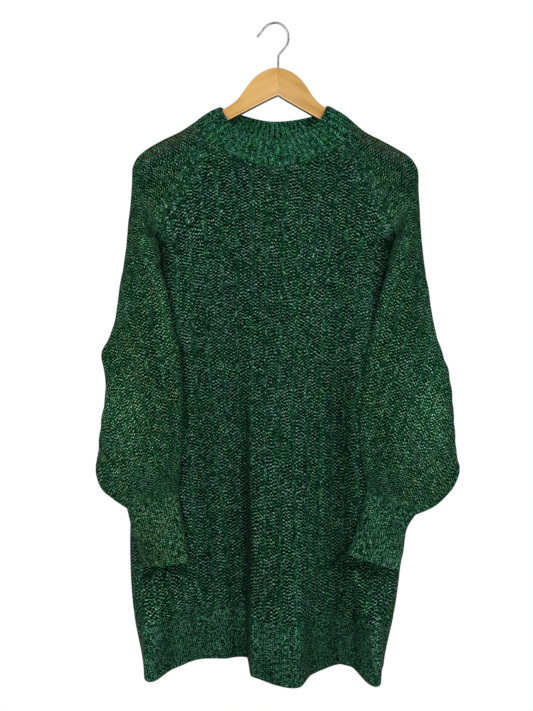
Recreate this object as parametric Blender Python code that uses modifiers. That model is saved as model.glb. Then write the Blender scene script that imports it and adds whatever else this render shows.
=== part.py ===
"""Sweater dress on a wooden hanger.

Open-mesh knit dress with raglan balloon sleeves, close-knit cuffs and hem, and
a ribbed mock neck, hanging on a two-part wooden hanger with a steel hook.

Metres, +Z up, origin at the inside top of the hook, where it rests on a peg.
The front of the dress faces -Y. Tables are in millimetres.
"""
import math
from collections import namedtuple

import bmesh
import bpy
import numpy as np

MM = 0.001

# ------------------------------------------------------------ driving sizes
KNIT_WALL = 2.2        # open mesh of body and sleeves
BAND_WALL = 2.8        # close knit of hem and cuffs
COLLAR_WALL = 3.2      # doubled rib
SEAM_GAP = 0.3         # between neighbouring pieces at a seam
TOUCH_GAP = 4.2        # between a sleeve and the body behind it
UNDERARM_SET = 3.4     # sleeve seam set out beside the side seam at the underarm
BAND_HEIGHT = 82.0     # hem band
WIRE = 3.5             # hook wire diameter
WOOD_HALF = 6.0        # half thickness of the hanger wood
JOINT_X = 3.0          # plane where the two hanger halves meet

UNDERARM_Z = -362.0
NECK_SIDE_Z = -198.0   # where raglan seams meet the collar, front
NECK_SIDE_BACK_Z = -180.0

# level sections of the body: side seams, depth of the plain front and back
Section = namedtuple("Section", "z left right side front back corner")
BODY = [
    Section(-160, -272, 272, 0, -20, 18, 40),
    Section(-200, -272, 272, 0, -25, 21, 40),
    Section(-252, -266, 266, 0, -29, 24, 44),
    Section(-293, -250, 249, 0, -31, 26, 50),
    Section(-333, -226, 223, 1, -31, 28, 55),
    Section(-362, -198, 195, 2, -31, 29, 60),
    Section(-400, -200, 197, 7, -31, 30, 60),
    Section(-440, -204, 199, 11, -31, 30, 60),
    Section(-500, -211, 203, 13, -32, 31, 60),
    Section(-650, -228, 209, 14, -34, 32, 60),
    Section(-780, -238, 210, 12, -35, 32, 50),
    Section(-880, -239, 204, 8, -34, 32, 36),
    Section(-960, -233, 193, 4, -30, 30, 28),
    Section(-1040, -218, 176, 2, -24, 28, 20),
    Section(-1075, -213, 172, 2, -22, 28, 18),
]

# raglan seams: distance of the seam out from the centre line
Raglan = namedtuple("Raglan", "z left right")
RAGLAN = [
    Raglan(-178, -106, 104),
    Raglan(-198, -115, 114),
    Raglan(-225, -130, 130),
    Raglan(-252, -144, 146),
    Raglan(-293, -168, 169),
    Raglan(-333, -187, 186),
    Raglan(-362, -198, 195),
]

# largest folds: a flat-topped ridge (depth < 0, forward) or trough (depth > 0)
# between a left and a right edge that run from the top level to the hem
Fold = namedtuple("Fold", "name left_top left_low right_top right_low "
                          "soft_left soft_right z_begin z_full z_fade z_end depth")
FRONT_FOLDS = [
    Fold("centre_lobe",   -44, -41,  56,  56,   9, 62, -560, -900, -1200, -1300, -44),
    Fold("lobe_at_hem",   -44, -41,  42,  47,   8, 22, -880, -1050, -1200, -1300, -30),
    Fold("right_valley",   86,  94, 124, 116,  36, 32, -480, -640, -1200, -1300, 14),
    Fold("left_valley",  -150, -150, -66, -58, 40, 20, -500, -760, -1200, -1300, 8),
    Fold("left_side",    -214, -208, -186, -178, 12, 46, -900, -1050, -1200, -1300, -46),
    Fold("right_side",    142, 136, 170, 160,  34, 12, -900, -1050, -1200, -1300, -50),
]
BACK_FOLDS = [
    Fold("back_left",    -150, -158, -104, -96, 44, 40, -430, -760, -1200, -1300, 13),
    Fold("back_centre",   -34, -44,   10,  24,  40, 46, -520, -820, -1200, -1300, 16),
    Fold("back_right",     88,  84,  128, 128,  38, 34, -460, -800, -1200, -1300, 11),
]

# level of the hem across the front and the back
Hem = namedtuple("Hem", "x front back")
HEM = [
    Hem(-218, -1050, -1050), Hem(-196, -1056, -1051), Hem(-166, -1049, -1050),
    Hem(-125, -1037, -1047), Hem(-80, -1035, -1045), Hem(-46, -1033, -1043),
    Hem(-30, -1038, -1043), Hem(2, -1049, -1043), Hem(26, -1053, -1042),
    Hem(42, -1052, -1042), Hem(62, -1050, -1043), Hem(108, -1048, -1045),
    Hem(124, -1050, -1046), Hem(145, -1060, -1048), Hem(158, -1060, -1049),
    Hem(176, -1050, -1050),
]

# crest of the shoulder, over the hanger and down the outside of the arm
Crest = namedtuple("Crest", "x y z")
CREST_LEFT = [
    Crest(-128, 0, -159), Crest(-156, 0, -177.5), Crest(-184, 0, -190.8),
    Crest(-208, 0, -204), Crest(-224, -1, -217), Crest(-231, -3, -230),
    Crest(-234, -6, -246), Crest(-234, -9, -290), Crest(-240, -12, -320),
    Crest(-243, -16, -346),
]
CREST_RIGHT = [
    Crest(120, 0, -157.5), Crest(144, 0, -177.5), Crest(170, 0, -190.8),
    Crest(194, 0, -204), Crest(215, -1, -217), Crest(226, -3, -230),
    Crest(232, -6, -248), Crest(230, -9, -292), Crest(233, -12, -320),
    Crest(236, -16, -346),
]

# sleeve below the underarm: tilted ovals. turn is how far the long axis is
# swung forward at its inner end, drop how much lower the outer edge sits
Oval = namedtuple("Oval", "z inner outer y half turn drop")
SLEEVE_LEFT = [
    Oval(-378, -193, -248, -17, 24, 67, 0),
    Oval(-416, -180, -253, -24, 23, 44, 0),
    Oval(-458, -171, -259, -27, 24, 31, 0),
    Oval(-500, -164, -264, -29, 24, 22, 0),
    Oval(-520, -158, -271, -31, 25, 18, 0),
    Oval(-541, -153, -281, -33, 25, 15, 0),
    Oval(-566, -151, -277, -35, 25, 13, 0),
    Oval(-590, -150, -273, -36, 25, 11, 0),
    Oval(-645, -148, -279, -38, 26, 8, 0),
    Oval(-700, -151, -285, -39, 26, 7, 1),
    Oval(-732, -153, -288, -39, 24, 6, 5),
    Oval(-752, -155, -275, -39, 20, 5, 9),
    Oval(-767, -157, -252, -38, 16, 4, 12),
    Oval(-776, -158.5, -238, -38, 13, 3, 12),
]
SLEEVE_RIGHT = [
    Oval(-378, 186, 240, -17, 24, 67, 0),
    Oval(-416, 173, 245, -24, 23, 44, 0),
    Oval(-458, 162, 251, -27, 24, 32, 0),
    Oval(-500, 155, 257, -29, 24, 23, 0),
    Oval(-520, 151, 262, -31, 25, 18, 0),
    Oval(-541, 146, 269, -33, 25, 15, 0),
    Oval(-566, 142, 277, -35, 25, 13, 0),
    Oval(-590, 139, 281, -36, 25, 11, 0),
    Oval(-645, 134, 285, -38, 26, 8, 0),
    Oval(-700, 134, 288, -39, 26, 7, 1),
    Oval(-730, 138, 291, -39, 24, 6, 5),
    Oval(-752, 142, 276, -39, 20, 5, 12),
    Oval(-768, 144, 254, -38, 16, 4, 17),
    Oval(-779, 145, 222, -38, 13, 3, 19),
]
CUFF_LEFT = [
    Oval(-776, -158.5, -238, -38, 13, 3, 12),
    Oval(-800, -153, -233, -38, 15, 3, 10),
    Oval(-840, -146, -223, -38, 15, 3, 6),
    Oval(-877, -140, -214, -38, 14, 3, 4),
]
CUFF_RIGHT = [
    Oval(-779, 145, 222, -38, 13, 3, 19),
    Oval(-802, 138, 208, -38, 15, 3, 16),
    Oval(-840, 126, 202, -38, 15, 3, 13),
    Oval(-874, 115, 196, -38, 14, 3, 12),
]

# folded top edge of the collar, once round from the front centre by the left
Rim = namedtuple("Rim", "place x y z")
COLLAR_RIM = [
    Rim("front", -2, -32, -196), Rim("", -30, -32, -192.5),
    Rim("", -54, -28, -183), Rim("side_front", -74, -20, -168),
    Rim("", -84, -12.5, -153), Rim("", -89.5, -8.6, -142),
    Rim("peak", -90, 0, -137), Rim("", -86, 9, -139.5),
    Rim("side_back", -66, 18, -144), Rim("", -30, 26, -152),
    Rim("back", -2, 28, -155), Rim("", 30, 26, -153),
    Rim("side_back", 60, 18, -148.5), Rim("", 78, 9, -140),
    Rim("peak", 82.5, 0, -135), Rim("", 81, -8.6, -141),
    Rim("", 76, -12.5, -151.5), Rim("side_front", 67, -20, -167),
    Rim("", 49, -28, -182), Rim("", 25, -32, -192.5),
]

# neckline of the front and back panels: lowest at the centre, up to the raglan
NECK_CENTRE_X = -2.0
NECK_FRONT_DROP = 43.0
NECK_BACK_DROP = 20.0
NECK_POWER = 1.6

# hanger arm sections: top and bottom edge of the wood
Arm = namedtuple("Arm", "x top bottom")
ARM_LEFT = [
    Arm(3, -73.0, -118.3), Arm(-10, -74.9, -124.0), Arm(-23, -80.4, -130.6),
    Arm(-36, -90.0, -137.3), Arm(-46, -101.4, -142.5), Arm(-56, -115.6, -147.7),
    Arm(-66, -127.6, -152.8), Arm(-76, -135.0, -158.0), Arm(-88, -142.3, -164.2),
    Arm(-104, -151.4, -172.2), Arm(-128, -165.4, -184.0), Arm(-156, -185.0, -201.5),
    Arm(-184, -199.0, -215.0), Arm(-203, -211.0, -226.0), Arm(-213, -219.5, -232.0),
]
ARM_RIGHT = [
    Arm(3, -73.0, -118.3), Arm(16, -76.4, -126.4), Arm(31, -84.4, -135.0),
    Arm(42, -94.4, -141.2), Arm(50, -105.0, -145.8), Arm(58, -117.6, -150.4),
    Arm(66, -127.4, -155.0), Arm(74, -134.4, -159.6), Arm(84, -141.2, -164.6),
    Arm(98, -150.0, -171.0), Arm(120, -164.5, -182.5), Arm(144, -184.5, -201.0),
    Arm(170, -198.5, -214.5), Arm(190, -209.5, -225.5), Arm(205, -220.5, -233.0),
]

# centre line of the hook wire, tip to stem
Wire = namedtuple("Wire", "x z")
HOOK = [
    Wire(-31.0, -21.6), Wire(-24.0, -12.8), Wire(-17.6, -5.0), Wire(-10.0, -0.1),
    Wire(0.0, 1.75), Wire(8.5, -0.9), Wire(14.6, -6.8), Wire(18.6, -14.0),
    Wire(20.0, -22.0), Wire(19.6, -29.0), Wire(17.0, -35.5), Wire(11.2, -42.9),
    Wire(5.6, -49.4), Wire(4.0, -52.6), Wire(3.2, -57.0), Wire(3.0, -66.0),
    Wire(3.0, -92.0),
]

# where the sleeve's rows cross the crest, closer together at the shoulder tip
CREST_SHARES = [0.0, 0.14, 0.28, 0.40, 0.50, 0.61, 0.80, 1.0]

# how many facets each piece takes
SIDE_COLS = 7          # panel columns that end at one raglan seam
FRONT_COLS = 14        # panel columns that end at the neckline
BACK_COLS = 12
PANEL_ROWS = 18
BAND_ROWS = 3
ROUND_COLS = 16        # once round a sleeve
COLLAR_ROWS = 3

COLOURS = {
    "mesh": (0.011, 0.060, 0.028, 1.0),
    "band": (0.012, 0.072, 0.034, 1.0),
    "wood": (0.60, 0.36, 0.13, 1.0),
    "steel": (0.62, 0.62, 0.62, 1.0),
}


# ------------------------------------------------------------------ helpers
def column(table, name):
    return np.array([getattr(row, name) for row in table], dtype=float)


def hermite(x, xs, ys):
    """Smooth curve through a table, without overshoot at its ends."""
    x = np.asarray(x, dtype=float)
    if xs[0] > xs[-1]:
        xs, ys = xs[::-1], ys[::-1]
    slopes = np.gradient(ys, xs)
    x = np.clip(x, xs[0], xs[-1])
    i = np.clip(np.searchsorted(xs, x, side="right") - 1, 0, len(xs) - 2)
    step = xs[i + 1] - xs[i]
    t = (x - xs[i]) / step
    return ((2 * t**3 - 3 * t**2 + 1) * ys[i] + (t**3 - 2 * t**2 + t) * step * slopes[i]
            + (3 * t**2 - 2 * t**3) * ys[i + 1] + (t**3 - t**2) * step * slopes[i + 1])


def at(table, key, name, value):
    return hermite(value, column(table, key), column(table, name))


def ease(t):
    t = np.clip(t, 0.0, 1.0)
    return t * t * (3.0 - 2.0 * t)


def resample(points, count):
    """The same path with count equal steps."""
    points = np.asarray(points, dtype=float)
    step = np.linalg.norm(np.diff(points, axis=0), axis=1)
    run = np.concatenate([[0.0], np.cumsum(step)])
    want = np.linspace(0.0, run[-1], count + 1)
    return np.stack([np.interp(want, run, points[:, k]) for k in range(3)], axis=1)


def smooth_path(points, per_step=12, closed=False):
    """Catmull-Rom curve through points."""
    p = np.asarray(points, dtype=float)
    n = len(p)
    out = []
    for i in range(n if closed else n - 1):
        if closed:
            a, b, c, d = p[i - 1], p[i], p[(i + 1) % n], p[(i + 2) % n]
        else:
            a, b, c, d = p[max(i - 1, 0)], p[i], p[i + 1], p[min(i + 2, n - 1)]
        for t in np.arange(per_step) / per_step:
            out.append(0.5 * (2 * b + (c - a) * t + (2 * a - 5 * b + 4 * c - d) * t**2
                              + (3 * b - 3 * c + d - a) * t**3))
    if not closed:
        out.append(p[-1])
    return np.array(out)


# ------------------------------------------------------- form of the garment
def fold_depth(folds, x, z):
    total = np.zeros(np.broadcast(x, z).shape)
    for f in folds:
        run = np.clip((f.z_begin - z) / (f.z_begin - f.z_end), 0.0, 1.0)
        left = f.left_top + (f.left_low - f.left_top) * run
        right = f.right_top + (f.right_low - f.right_top) * run
        across = ease((x - left) / f.soft_left + 0.5) * ease((right - x) / f.soft_right + 0.5)
        along = (ease((f.z_begin - z) / (f.z_begin - f.z_full))
                 * ease((z - f.z_end) / (f.z_fade - f.z_end)))
        total = total + f.depth * across * along
    return total


def oval_axes(table, z):
    inner = at(table, "z", "inner", z)
    outer = at(table, "z", "outer", z)
    half = at(table, "z", "half", z)
    turn = np.radians(at(table, "z", "turn", z))
    reach = abs(inner - outer) / 2
    longer = np.sqrt(np.maximum(reach**2 - (half * np.sin(turn))**2, 1.0)) / np.cos(turn)
    return (inner + outer) / 2, at(table, "z", "y", z), longer, half, turn


def behind_sleeve(tables, x, z):
    """Depth of the back of a sleeve and its cuff, or far forward beside them."""
    far = np.full(np.broadcast(x, z).shape, -400.0)
    for table, above, below in ((tables[0], 10.0, 20.0), (tables[1], 20.0, 150.0)):
        zs = column(table, "z")
        side = -1.0 if table[0].inner < 0 else 1.0
        level = z
        for _ in range(3):
            cx, cy, a, b, turn = oval_axes(table, level)
            reach = np.abs(at(table, "z", "inner", level) - at(table, "z", "outer", level)) / 2
            inward = np.clip((cx - x) * side / reach, -1.0, 1.0)
            level = z - at(table, "z", "drop", level) * inward
        dx = (x - cx) * side
        # long axis points inward and forward
        ux, uy = -np.cos(turn), -np.sin(turn)
        m11 = (ux / a)**2 + (uy / b)**2
        m22 = (uy / a)**2 + (ux / b)**2
        m12 = ux * uy * (1 / a**2 - 1 / b**2)
        root = (m12 * dx)**2 - m22 * (m11 * dx**2 - 1.0)
        y = cy + (-m12 * dx + np.sqrt(np.maximum(root, 0.0))) / m22
        # beyond either end the body swings forward again only slowly
        under = np.maximum(zs[-1] - level - 20.0, 0.0)
        over = np.maximum(level - zs[0] - 4.0, 0.0)
        inside = (level <= zs[0] + above) & (level >= zs[-1] - below)
        y = y - 0.45 * under - 1.5 * over
        far = np.maximum(far, np.where(inside & (root > 0.0), y, -400.0))
    return far


def body_depth(front, x, z):
    """How far forward (-) or back (+) a panel lies at a place on the body."""
    side = at(BODY, "z", "side", z)
    plain = at(BODY, "z", "front" if front else "back", z)
    left = at(BODY, "z", "left", z)
    right = at(BODY, "z", "right", z)
    corner = at(BODY, "z", "corner", z)
    y = plain + fold_depth(FRONT_FOLDS if front else BACK_FOLDS, x, z)
    edge = np.clip(np.minimum(x - left, right - x) / corner, 0.0, 1.0)
    y = side + (y - side) * np.sqrt(1.0 - (1.0 - edge)**2)
    if front:
        for tables in ((SLEEVE_LEFT, CUFF_LEFT), (SLEEVE_RIGHT, CUFF_RIGHT)):
            wall = behind_sleeve(tables, x, z) + KNIT_WALL + TOUCH_GAP
            soft = 5.0
            lift = np.where(wall > -300.0, wall, y - 50.0) - y
            y = y + 0.5 * (lift + np.sqrt(lift**2 + soft**2)) - 0.5 * (
                np.sqrt(50.0**2 + soft**2) - 50.0)
    return y


LEVELS = np.arange(-1090.0, -158.0, 3.0)


def panel_table(front, shares):
    """x of each cloth column at each level, at equal lengths of cloth."""
    theta = np.linspace(0.0, math.pi, 420)
    share_of_width = (1.0 - np.cos(theta)) / 2
    rows = []
    for z in LEVELS:
        left, right = at(BODY, "z", "left", z), at(BODY, "z", "right", z)
        x = left + (right - left) * share_of_width
        y = body_depth(front, x, np.full_like(x, z))
        run = np.concatenate([[0.0], np.cumsum(np.hypot(np.diff(x), np.diff(y)))])
        rows.append(np.interp(np.asarray(shares) * run[-1], run, x))
    return np.array(rows)


def neck_level(front, x):
    base = NECK_SIDE_Z if front else NECK_SIDE_BACK_Z
    drop = NECK_FRONT_DROP if front else NECK_BACK_DROP
    left = at(RAGLAN, "z", "left", base)
    right = at(RAGLAN, "z", "right", base)
    reach = np.where(x < NECK_CENTRE_X, NECK_CENTRE_X - left, right - NECK_CENTRE_X)
    share = np.clip(abs(x - NECK_CENTRE_X) / reach, 0.0, 1.0)
    return base - drop * (1.0 - share**NECK_POWER)


def top_level(front, xs):
    """Where one column of cloth ends: at a raglan seam or at the neckline."""
    neck_side = NECK_SIDE_Z if front else NECK_SIDE_BACK_Z
    fine = np.arange(UNDERARM_Z, neck_side + 0.1, 0.25)
    x = np.interp(fine, LEVELS, xs)
    inside = ((x >= at(RAGLAN, "z", "left", fine)) & (x <= at(RAGLAN, "z", "right", fine))
              & (fine <= neck_level(front, x)))
    return fine[inside].max() if inside.any() else UNDERARM_Z


def panel_shares(front):
    """Column positions as shares of the cloth width, with one at each corner."""
    neck_side = NECK_SIDE_Z if front else NECK_SIDE_BACK_Z
    probe = np.linspace(0.0, 1.0, 801)
    x = panel_table(front, probe)
    row = np.array([np.interp(neck_side, LEVELS, x[:, k]) for k in range(len(probe))])
    cut_left = np.interp(at(RAGLAN, "z", "left", neck_side), row, probe)
    cut_right = np.interp(at(RAGLAN, "z", "right", neck_side), row, probe)
    mid = FRONT_COLS if front else BACK_COLS
    return np.concatenate([
        np.linspace(0.0, cut_left, SIDE_COLS + 1)[:-1],
        np.linspace(cut_left, cut_right, mid + 1),
        np.linspace(cut_right, 1.0, SIDE_COLS + 1)[1:],
    ])


def panel_grids(front):
    """Body panel (hem seam up) and hem band (hem up) as grids of points."""
    shares = panel_shares(front)
    xs = panel_table(front, shares)
    rows = PANEL_ROWS
    panel = np.zeros((rows + 1, len(shares), 3))
    band = np.zeros((BAND_ROWS + 1, len(shares), 3))
    for k in range(len(shares)):
        if k in (0, len(shares) - 1):
            top = UNDERARM_Z
        elif k == SIDE_COLS or k == len(shares) - 1 - SIDE_COLS:
            top = NECK_SIDE_Z if front else NECK_SIDE_BACK_Z
        else:
            top = top_level(front, xs[:, k])
        x_low = np.interp(-1045.0, LEVELS, xs[:, k])
        hem = at(HEM, "x", "front" if front else "back", x_low)
        seam = hem + BAND_HEIGHT
        share = np.linspace(0.0, 1.0, rows + 1)
        zs = seam + (top - seam) * share
        x = np.interp(zs, LEVELS, xs[:, k])
        panel[:, k, 0], panel[:, k, 2] = x, zs
        panel[:, k, 1] = body_depth(front, x, zs)
        zs = hem + (seam - hem) * np.linspace(0.0, 1.0, BAND_ROWS + 1)
        x = np.interp(zs, LEVELS, xs[:, k])
        band[:, k, 0], band[:, k, 2] = x, zs
        band[:, k, 1] = body_depth(front, x, zs)
    return panel, band


def bezier(a, b, c, d, count):
    t = np.linspace(0.0, 1.0, 60)[:, None]
    curve = a * (1 - t)**3 + 3 * b * t * (1 - t)**2 + 3 * c * t**2 * (1 - t) + d * t**3
    return resample(curve, count)


def oval_ring(row, count):
    """Points once round one sleeve section, from its inner back."""
    side = -1.0 if row.inner < 0 else 1.0
    reach = abs(row.inner - row.outer) / 2
    turn = math.radians(row.turn)
    a = math.sqrt(reach**2 - (row.half * math.sin(turn))**2) / math.cos(turn)
    phi = math.pi / 2 - np.linspace(0.0, 2 * math.pi, 241)
    along, across = a * np.cos(phi), row.half * np.sin(phi)
    inward = along * math.cos(turn) + across * math.sin(turn)
    y = row.y - along * math.sin(turn) + across * math.cos(turn)
    x = (row.inner + row.outer) / 2 - side * inward
    z = row.z + row.drop * inward / reach
    return resample(np.stack([x, y, z], axis=1), count)


def sleeve_grid(table, crest, front_seam, back_seam):
    """Rows from the collar to the cuff, columns from the front seam round to the back."""
    path = resample(smooth_path([(c.x, c.y, c.z) for c in crest]), 400)
    ridge = path[[int(round(400 * share)) for share in CREST_SHARES]]
    side = -1.0 if table[0].inner < 0 else 1.0
    rows = []
    for k in range(SIDE_COLS + 1):
        share = k / SIDE_COLS
        f, r, b = front_seam[k].copy(), ridge[k], back_seam[k].copy()
        swell = ease((share - 0.35) / 0.65)
        # near the underarm the sleeve leaves its seam doubled back beside the body
        aside = UNDERARM_SET * ease((share - 0.6) / 0.4)
        f[0] += side * aside
        b[0] += side * aside
        f1 = f + 0.40 * (r - f)
        f1[1] = f[1] * (1 - swell) - 62.0 * swell
        f1[0] -= side * 12.0 * swell
        b1 = b + 0.40 * (r - b)
        b1[1] = b[1] * (1 - swell) + 44.0 * swell
        f2, b2 = r.copy(), r.copy()
        f2[1] -= 12.0 + 28.0 * swell
        b2[1] += 12.0 + 28.0 * swell
        fore = bezier(f, f1, f2, r, 60)
        aft = bezier(r, b2, b1, b, 60)
        halves = np.concatenate([resample(fore, ROUND_COLS // 2),
                                 resample(aft, ROUND_COLS // 2)[1:]])
        whole = resample(np.concatenate([fore, aft[1:]]), ROUND_COLS)
        rows.append(halves + (whole - halves) * ease((share - 0.3) / 0.7))
    for row in table:
        rows.append(oval_ring(row, ROUND_COLS))
    rows = np.array(rows)
    # ease the turn below the underarm; the seam itself stays
    eased = 0.5 * rows[1:-1] + 0.25 * (rows[:-2] + rows[2:])
    rows[SIDE_COLS, 1:-1] = eased[SIDE_COLS - 1, 1:-1]
    rows[SIDE_COLS + 1] = eased[SIDE_COLS]
    return rows


def collar_grid(front_edge, left_edge, back_edge, right_edge):
    """Closed ring of columns from the front centre's right corner round by the left."""
    low = np.concatenate([front_edge[:-1], left_edge[:-1], back_edge[:-1], right_edge[:-1]])
    rim = smooth_path([(r.x, r.y, r.z) for r in COLLAR_RIM], 12, closed=True)
    spot = {}
    for i, r in enumerate(COLLAR_RIM):
        if r.place:
            spot.setdefault(r.place, []).append(i * 12)
    n = len(rim)
    fl, fr = spot["side_front"]
    bl, br = spot["side_back"]
    def arc(i, j, count):
        j = j if j > i else j + n
        return resample(rim[np.arange(i, j + 1) % n], count)[:-1]
    high = np.concatenate([
        arc(fr, fl, len(front_edge) - 1), arc(fl, bl, len(left_edge) - 1),
        arc(bl, br, len(back_edge) - 1), arc(br, fr, len(right_edge) - 1)])
    rows = []
    centre = np.array([NECK_CENTRE_X, 0.0, 0.0])
    for h in np.linspace(0.0, 1.0, COLLAR_ROWS + 1):
        p = low + (high - low) * h
        out = (p - centre) * np.array([1.0, 1.0, 0.0])
        out /= np.linalg.norm(out, axis=1)[:, None]
        rows.append(p + out * 2.0 * math.sin(math.pi * h))
    return np.array(rows)


# ----------------------------------------------------------- seams and walls
def pull_back(edge, inner, kink, wall):
    away = inner - edge
    away /= np.maximum(np.linalg.norm(away, axis=1), 1e-9)[:, None]
    reach = SEAM_GAP / 2 + 0.8 * wall * np.tan(np.minimum(kink, 2.4) / 2)
    return edge + away * reach[:, None]


def kinks(a_edge, a_in, b_edge, b_in):
    """Angle between the two cloths at each point of a seam, 0 where flat."""
    u = a_edge - a_in
    v = b_in - b_edge
    u /= np.linalg.norm(u, axis=1)[:, None]
    v /= np.linalg.norm(v, axis=1)[:, None]
    return np.arccos(np.clip((u * v).sum(axis=1), -1.0, 1.0))


def grid_object(name, grid, wall, colour, closed=False):
    """A sheet of triangles over a grid of points, thickened both ways."""
    rows, cols = grid.shape[:2]
    verts = [tuple(p * MM) for p in grid.reshape(-1, 3)]
    faces = []
    last = cols if closed else cols - 1
    for i in range(rows - 1):
        for j in range(last):
            k = (j + 1) % cols
            a, b = i * cols + j, i * cols + k
            c, d = (i + 1) * cols + k, (i + 1) * cols + j
            ac = np.linalg.norm(grid[i, j] - grid[i + 1, k])
            bd = np.linalg.norm(grid[i, k] - grid[i + 1, j])
            if ac <= bd:
                faces += [(a, b, c), (a, c, d)]
            else:
                faces += [(a, b, d), (b, c, d)]
    mesh = bpy.data.meshes.new(name)
    mesh.from_pydata(verts, [], faces)
    bm = bmesh.new()
    bm.from_mesh(mesh)
    bmesh.ops.remove_doubles(bm, verts=bm.verts, dist=1e-5)
    bmesh.ops.recalc_face_normals(bm, faces=bm.faces)
    bm.to_mesh(mesh)
    bm.free()
    mesh.shade_smooth()
    obj = bpy.data.objects.new(name, mesh)
    garment.objects.link(obj)
    shell = obj.modifiers.new("wall", "SOLIDIFY")
    shell.thickness = wall * MM
    shell.offset = 0.0
    shell.use_rim = True
    mesh.materials.append(material(colour))
    return obj


def material(name):
    found = bpy.data.materials.get(name)
    if found:
        return found
    made = bpy.data.materials.new(name)
    made.use_nodes = True
    shader = made.node_tree.nodes["Principled BSDF"]
    shader.inputs["Base Color"].default_value = COLOURS[name]
    shader.inputs["Roughness"].default_value = {"wood": 0.35, "steel": 0.25}.get(name, 0.7)
    shader.inputs["Metallic"].default_value = {"steel": 1.0, "mesh": 0.15, "band": 0.15}.get(name, 0.0)
    return made


# ------------------------------------------------------------------- hanger
def arm_object(name, table, side):
    """Lofted hanger half: rounded sections that follow the wood's outline."""
    radius, steps = 2.4, 3
    xs = column(table, "x") * side
    stations = np.concatenate([
        np.linspace(xs[0] + (0.15 if side > 0 else 0.15), xs[-1], 20)])
    verts, faces, ring = [], [], 4 * (steps + 1)
    ends = []
    for n, s in enumerate(stations):
        top = float(hermite(s, xs, column(table, "top")))
        low = float(hermite(s, xs, column(table, "bottom")))
        half = WOOD_HALF
        if n == len(stations) - 1:
            shrink = 3.0
            top, low, half = top - shrink, low + shrink, half - shrink
        corners = [(half, top, 0), (-half, top, 90), (-half, low, 180), (half, low, 270)]
        start = len(verts)
        for cy, cz, angle in corners:
            oy = cy - math.copysign(radius, cy)
            oz = cz - radius if angle < 180 else cz + radius
            for k in range(steps + 1):
                t = math.radians(angle + 90.0 * k / steps)
                verts.append((s * side * MM, (oy + radius * math.cos(t)) * MM,
                              (oz + radius * math.sin(t)) * MM))
        ends.append(start)
    for a, b in zip(ends[:-1], ends[1:]):
        for k in range(ring):
            m = (k + 1) % ring
            faces.append((a + k, a + m, b + m, b + k))
    faces.append(tuple(range(ends[0], ends[0] + ring)))
    faces.append(tuple(range(ends[-1], ends[-1] + ring)))
    mesh = bpy.data.meshes.new(name)
    mesh.from_pydata(verts, [], faces)
    bm = bmesh.new()
    bm.from_mesh(mesh)
    bmesh.ops.recalc_face_normals(bm, faces=bm.faces)
    bm.to_mesh(mesh)
    bm.free()
    mesh.shade_smooth()
    mesh.set_sharp_from_angle(angle=math.radians(50))
    mesh.materials.append(material("wood"))
    obj = bpy.data.objects.new(name, mesh)
    garment.objects.link(obj)
    cut = obj.modifiers.new("stem_hole", "BOOLEAN")
    cut.operation = "DIFFERENCE"
    cut.solver = "EXACT"
    cut.object = stem_cutter
    return obj


def hook_object():
    path = smooth_path([(w.x, 0.0, w.z) for w in HOOK], 3)
    curve = bpy.data.curves.new("hanger_hook", "CURVE")
    curve.dimensions = "3D"
    curve.bevel_depth = WIRE / 2 * MM
    curve.bevel_resolution = 2
    curve.use_fill_caps = True
    spline = curve.splines.new("POLY")
    spline.points.add(len(path) - 1)
    for point, p in zip(spline.points, path):
        point.co = (p[0] * MM, p[1] * MM, p[2] * MM, 1.0)
    curve.materials.append(material("steel"))
    obj = bpy.data.objects.new("hanger_hook", curve)
    garment.objects.link(obj)
    return obj


# -------------------------------------------------------------------- build
for old in list(bpy.data.objects):
    bpy.data.objects.remove(old, do_unlink=True)

garment = bpy.data.collections.new("sweater_dress")
cutters = bpy.data.collections.new("cutters")
bpy.context.scene.collection.children.link(garment)
bpy.context.scene.collection.children.link(cutters)

bpy.ops.mesh.primitive_cylinder_add(vertices=20, radius=(WIRE / 2 + 0.35) * MM,
                                    depth=44 * MM, location=(JOINT_X * MM, 0.0, -71 * MM))
stem_cutter = bpy.context.object
stem_cutter.name = "stem_cutter"
for owner in list(stem_cutter.users_collection):
    owner.objects.unlink(stem_cutter)
cutters.objects.link(stem_cutter)
stem_cutter.hide_render = True
stem_cutter.display_type = "WIRE"

front, hem_front = panel_grids(True)
back, hem_back = panel_grids(False)

S, E = SIDE_COLS, -1
left_front_seam = front[-1, S::-1].copy()
left_back_seam = back[-1, S::-1].copy()
right_front_seam = front[-1, len(front[0]) - 1 - S:].copy()
right_back_seam = back[-1, len(back[0]) - 1 - S:].copy()
sleeve_left = sleeve_grid(SLEEVE_LEFT, CREST_LEFT, left_front_seam, left_back_seam)
sleeve_right = sleeve_grid(SLEEVE_RIGHT, CREST_RIGHT, right_front_seam, right_back_seam)
cuff_left = np.array([oval_ring(row, ROUND_COLS)[:-1] for row in CUFF_LEFT])
cuff_right = np.array([oval_ring(row, ROUND_COLS)[:-1] for row in CUFF_RIGHT])

front_neck = front[-1, S:len(front[0]) - S]
back_neck = back[-1, S:len(back[0]) - S]
collar = collar_grid(front_neck[::-1], sleeve_left[0], back_neck, sleeve_right[0][::-1])

# seams: each edge is drawn back along its own cloth, more where the cloths meet at an angle
moves = []
def seam(a, a_edge, a_in, b, b_edge, b_in, wall):
    kink = kinks(a[a_edge], a[a_in], b[b_edge], b[b_in])
    moves.append((a, a_edge, pull_back(a[a_edge], a[a_in], kink, wall)))
    moves.append((b, b_edge, pull_back(b[b_edge], b[b_in], kink, wall)))

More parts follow.
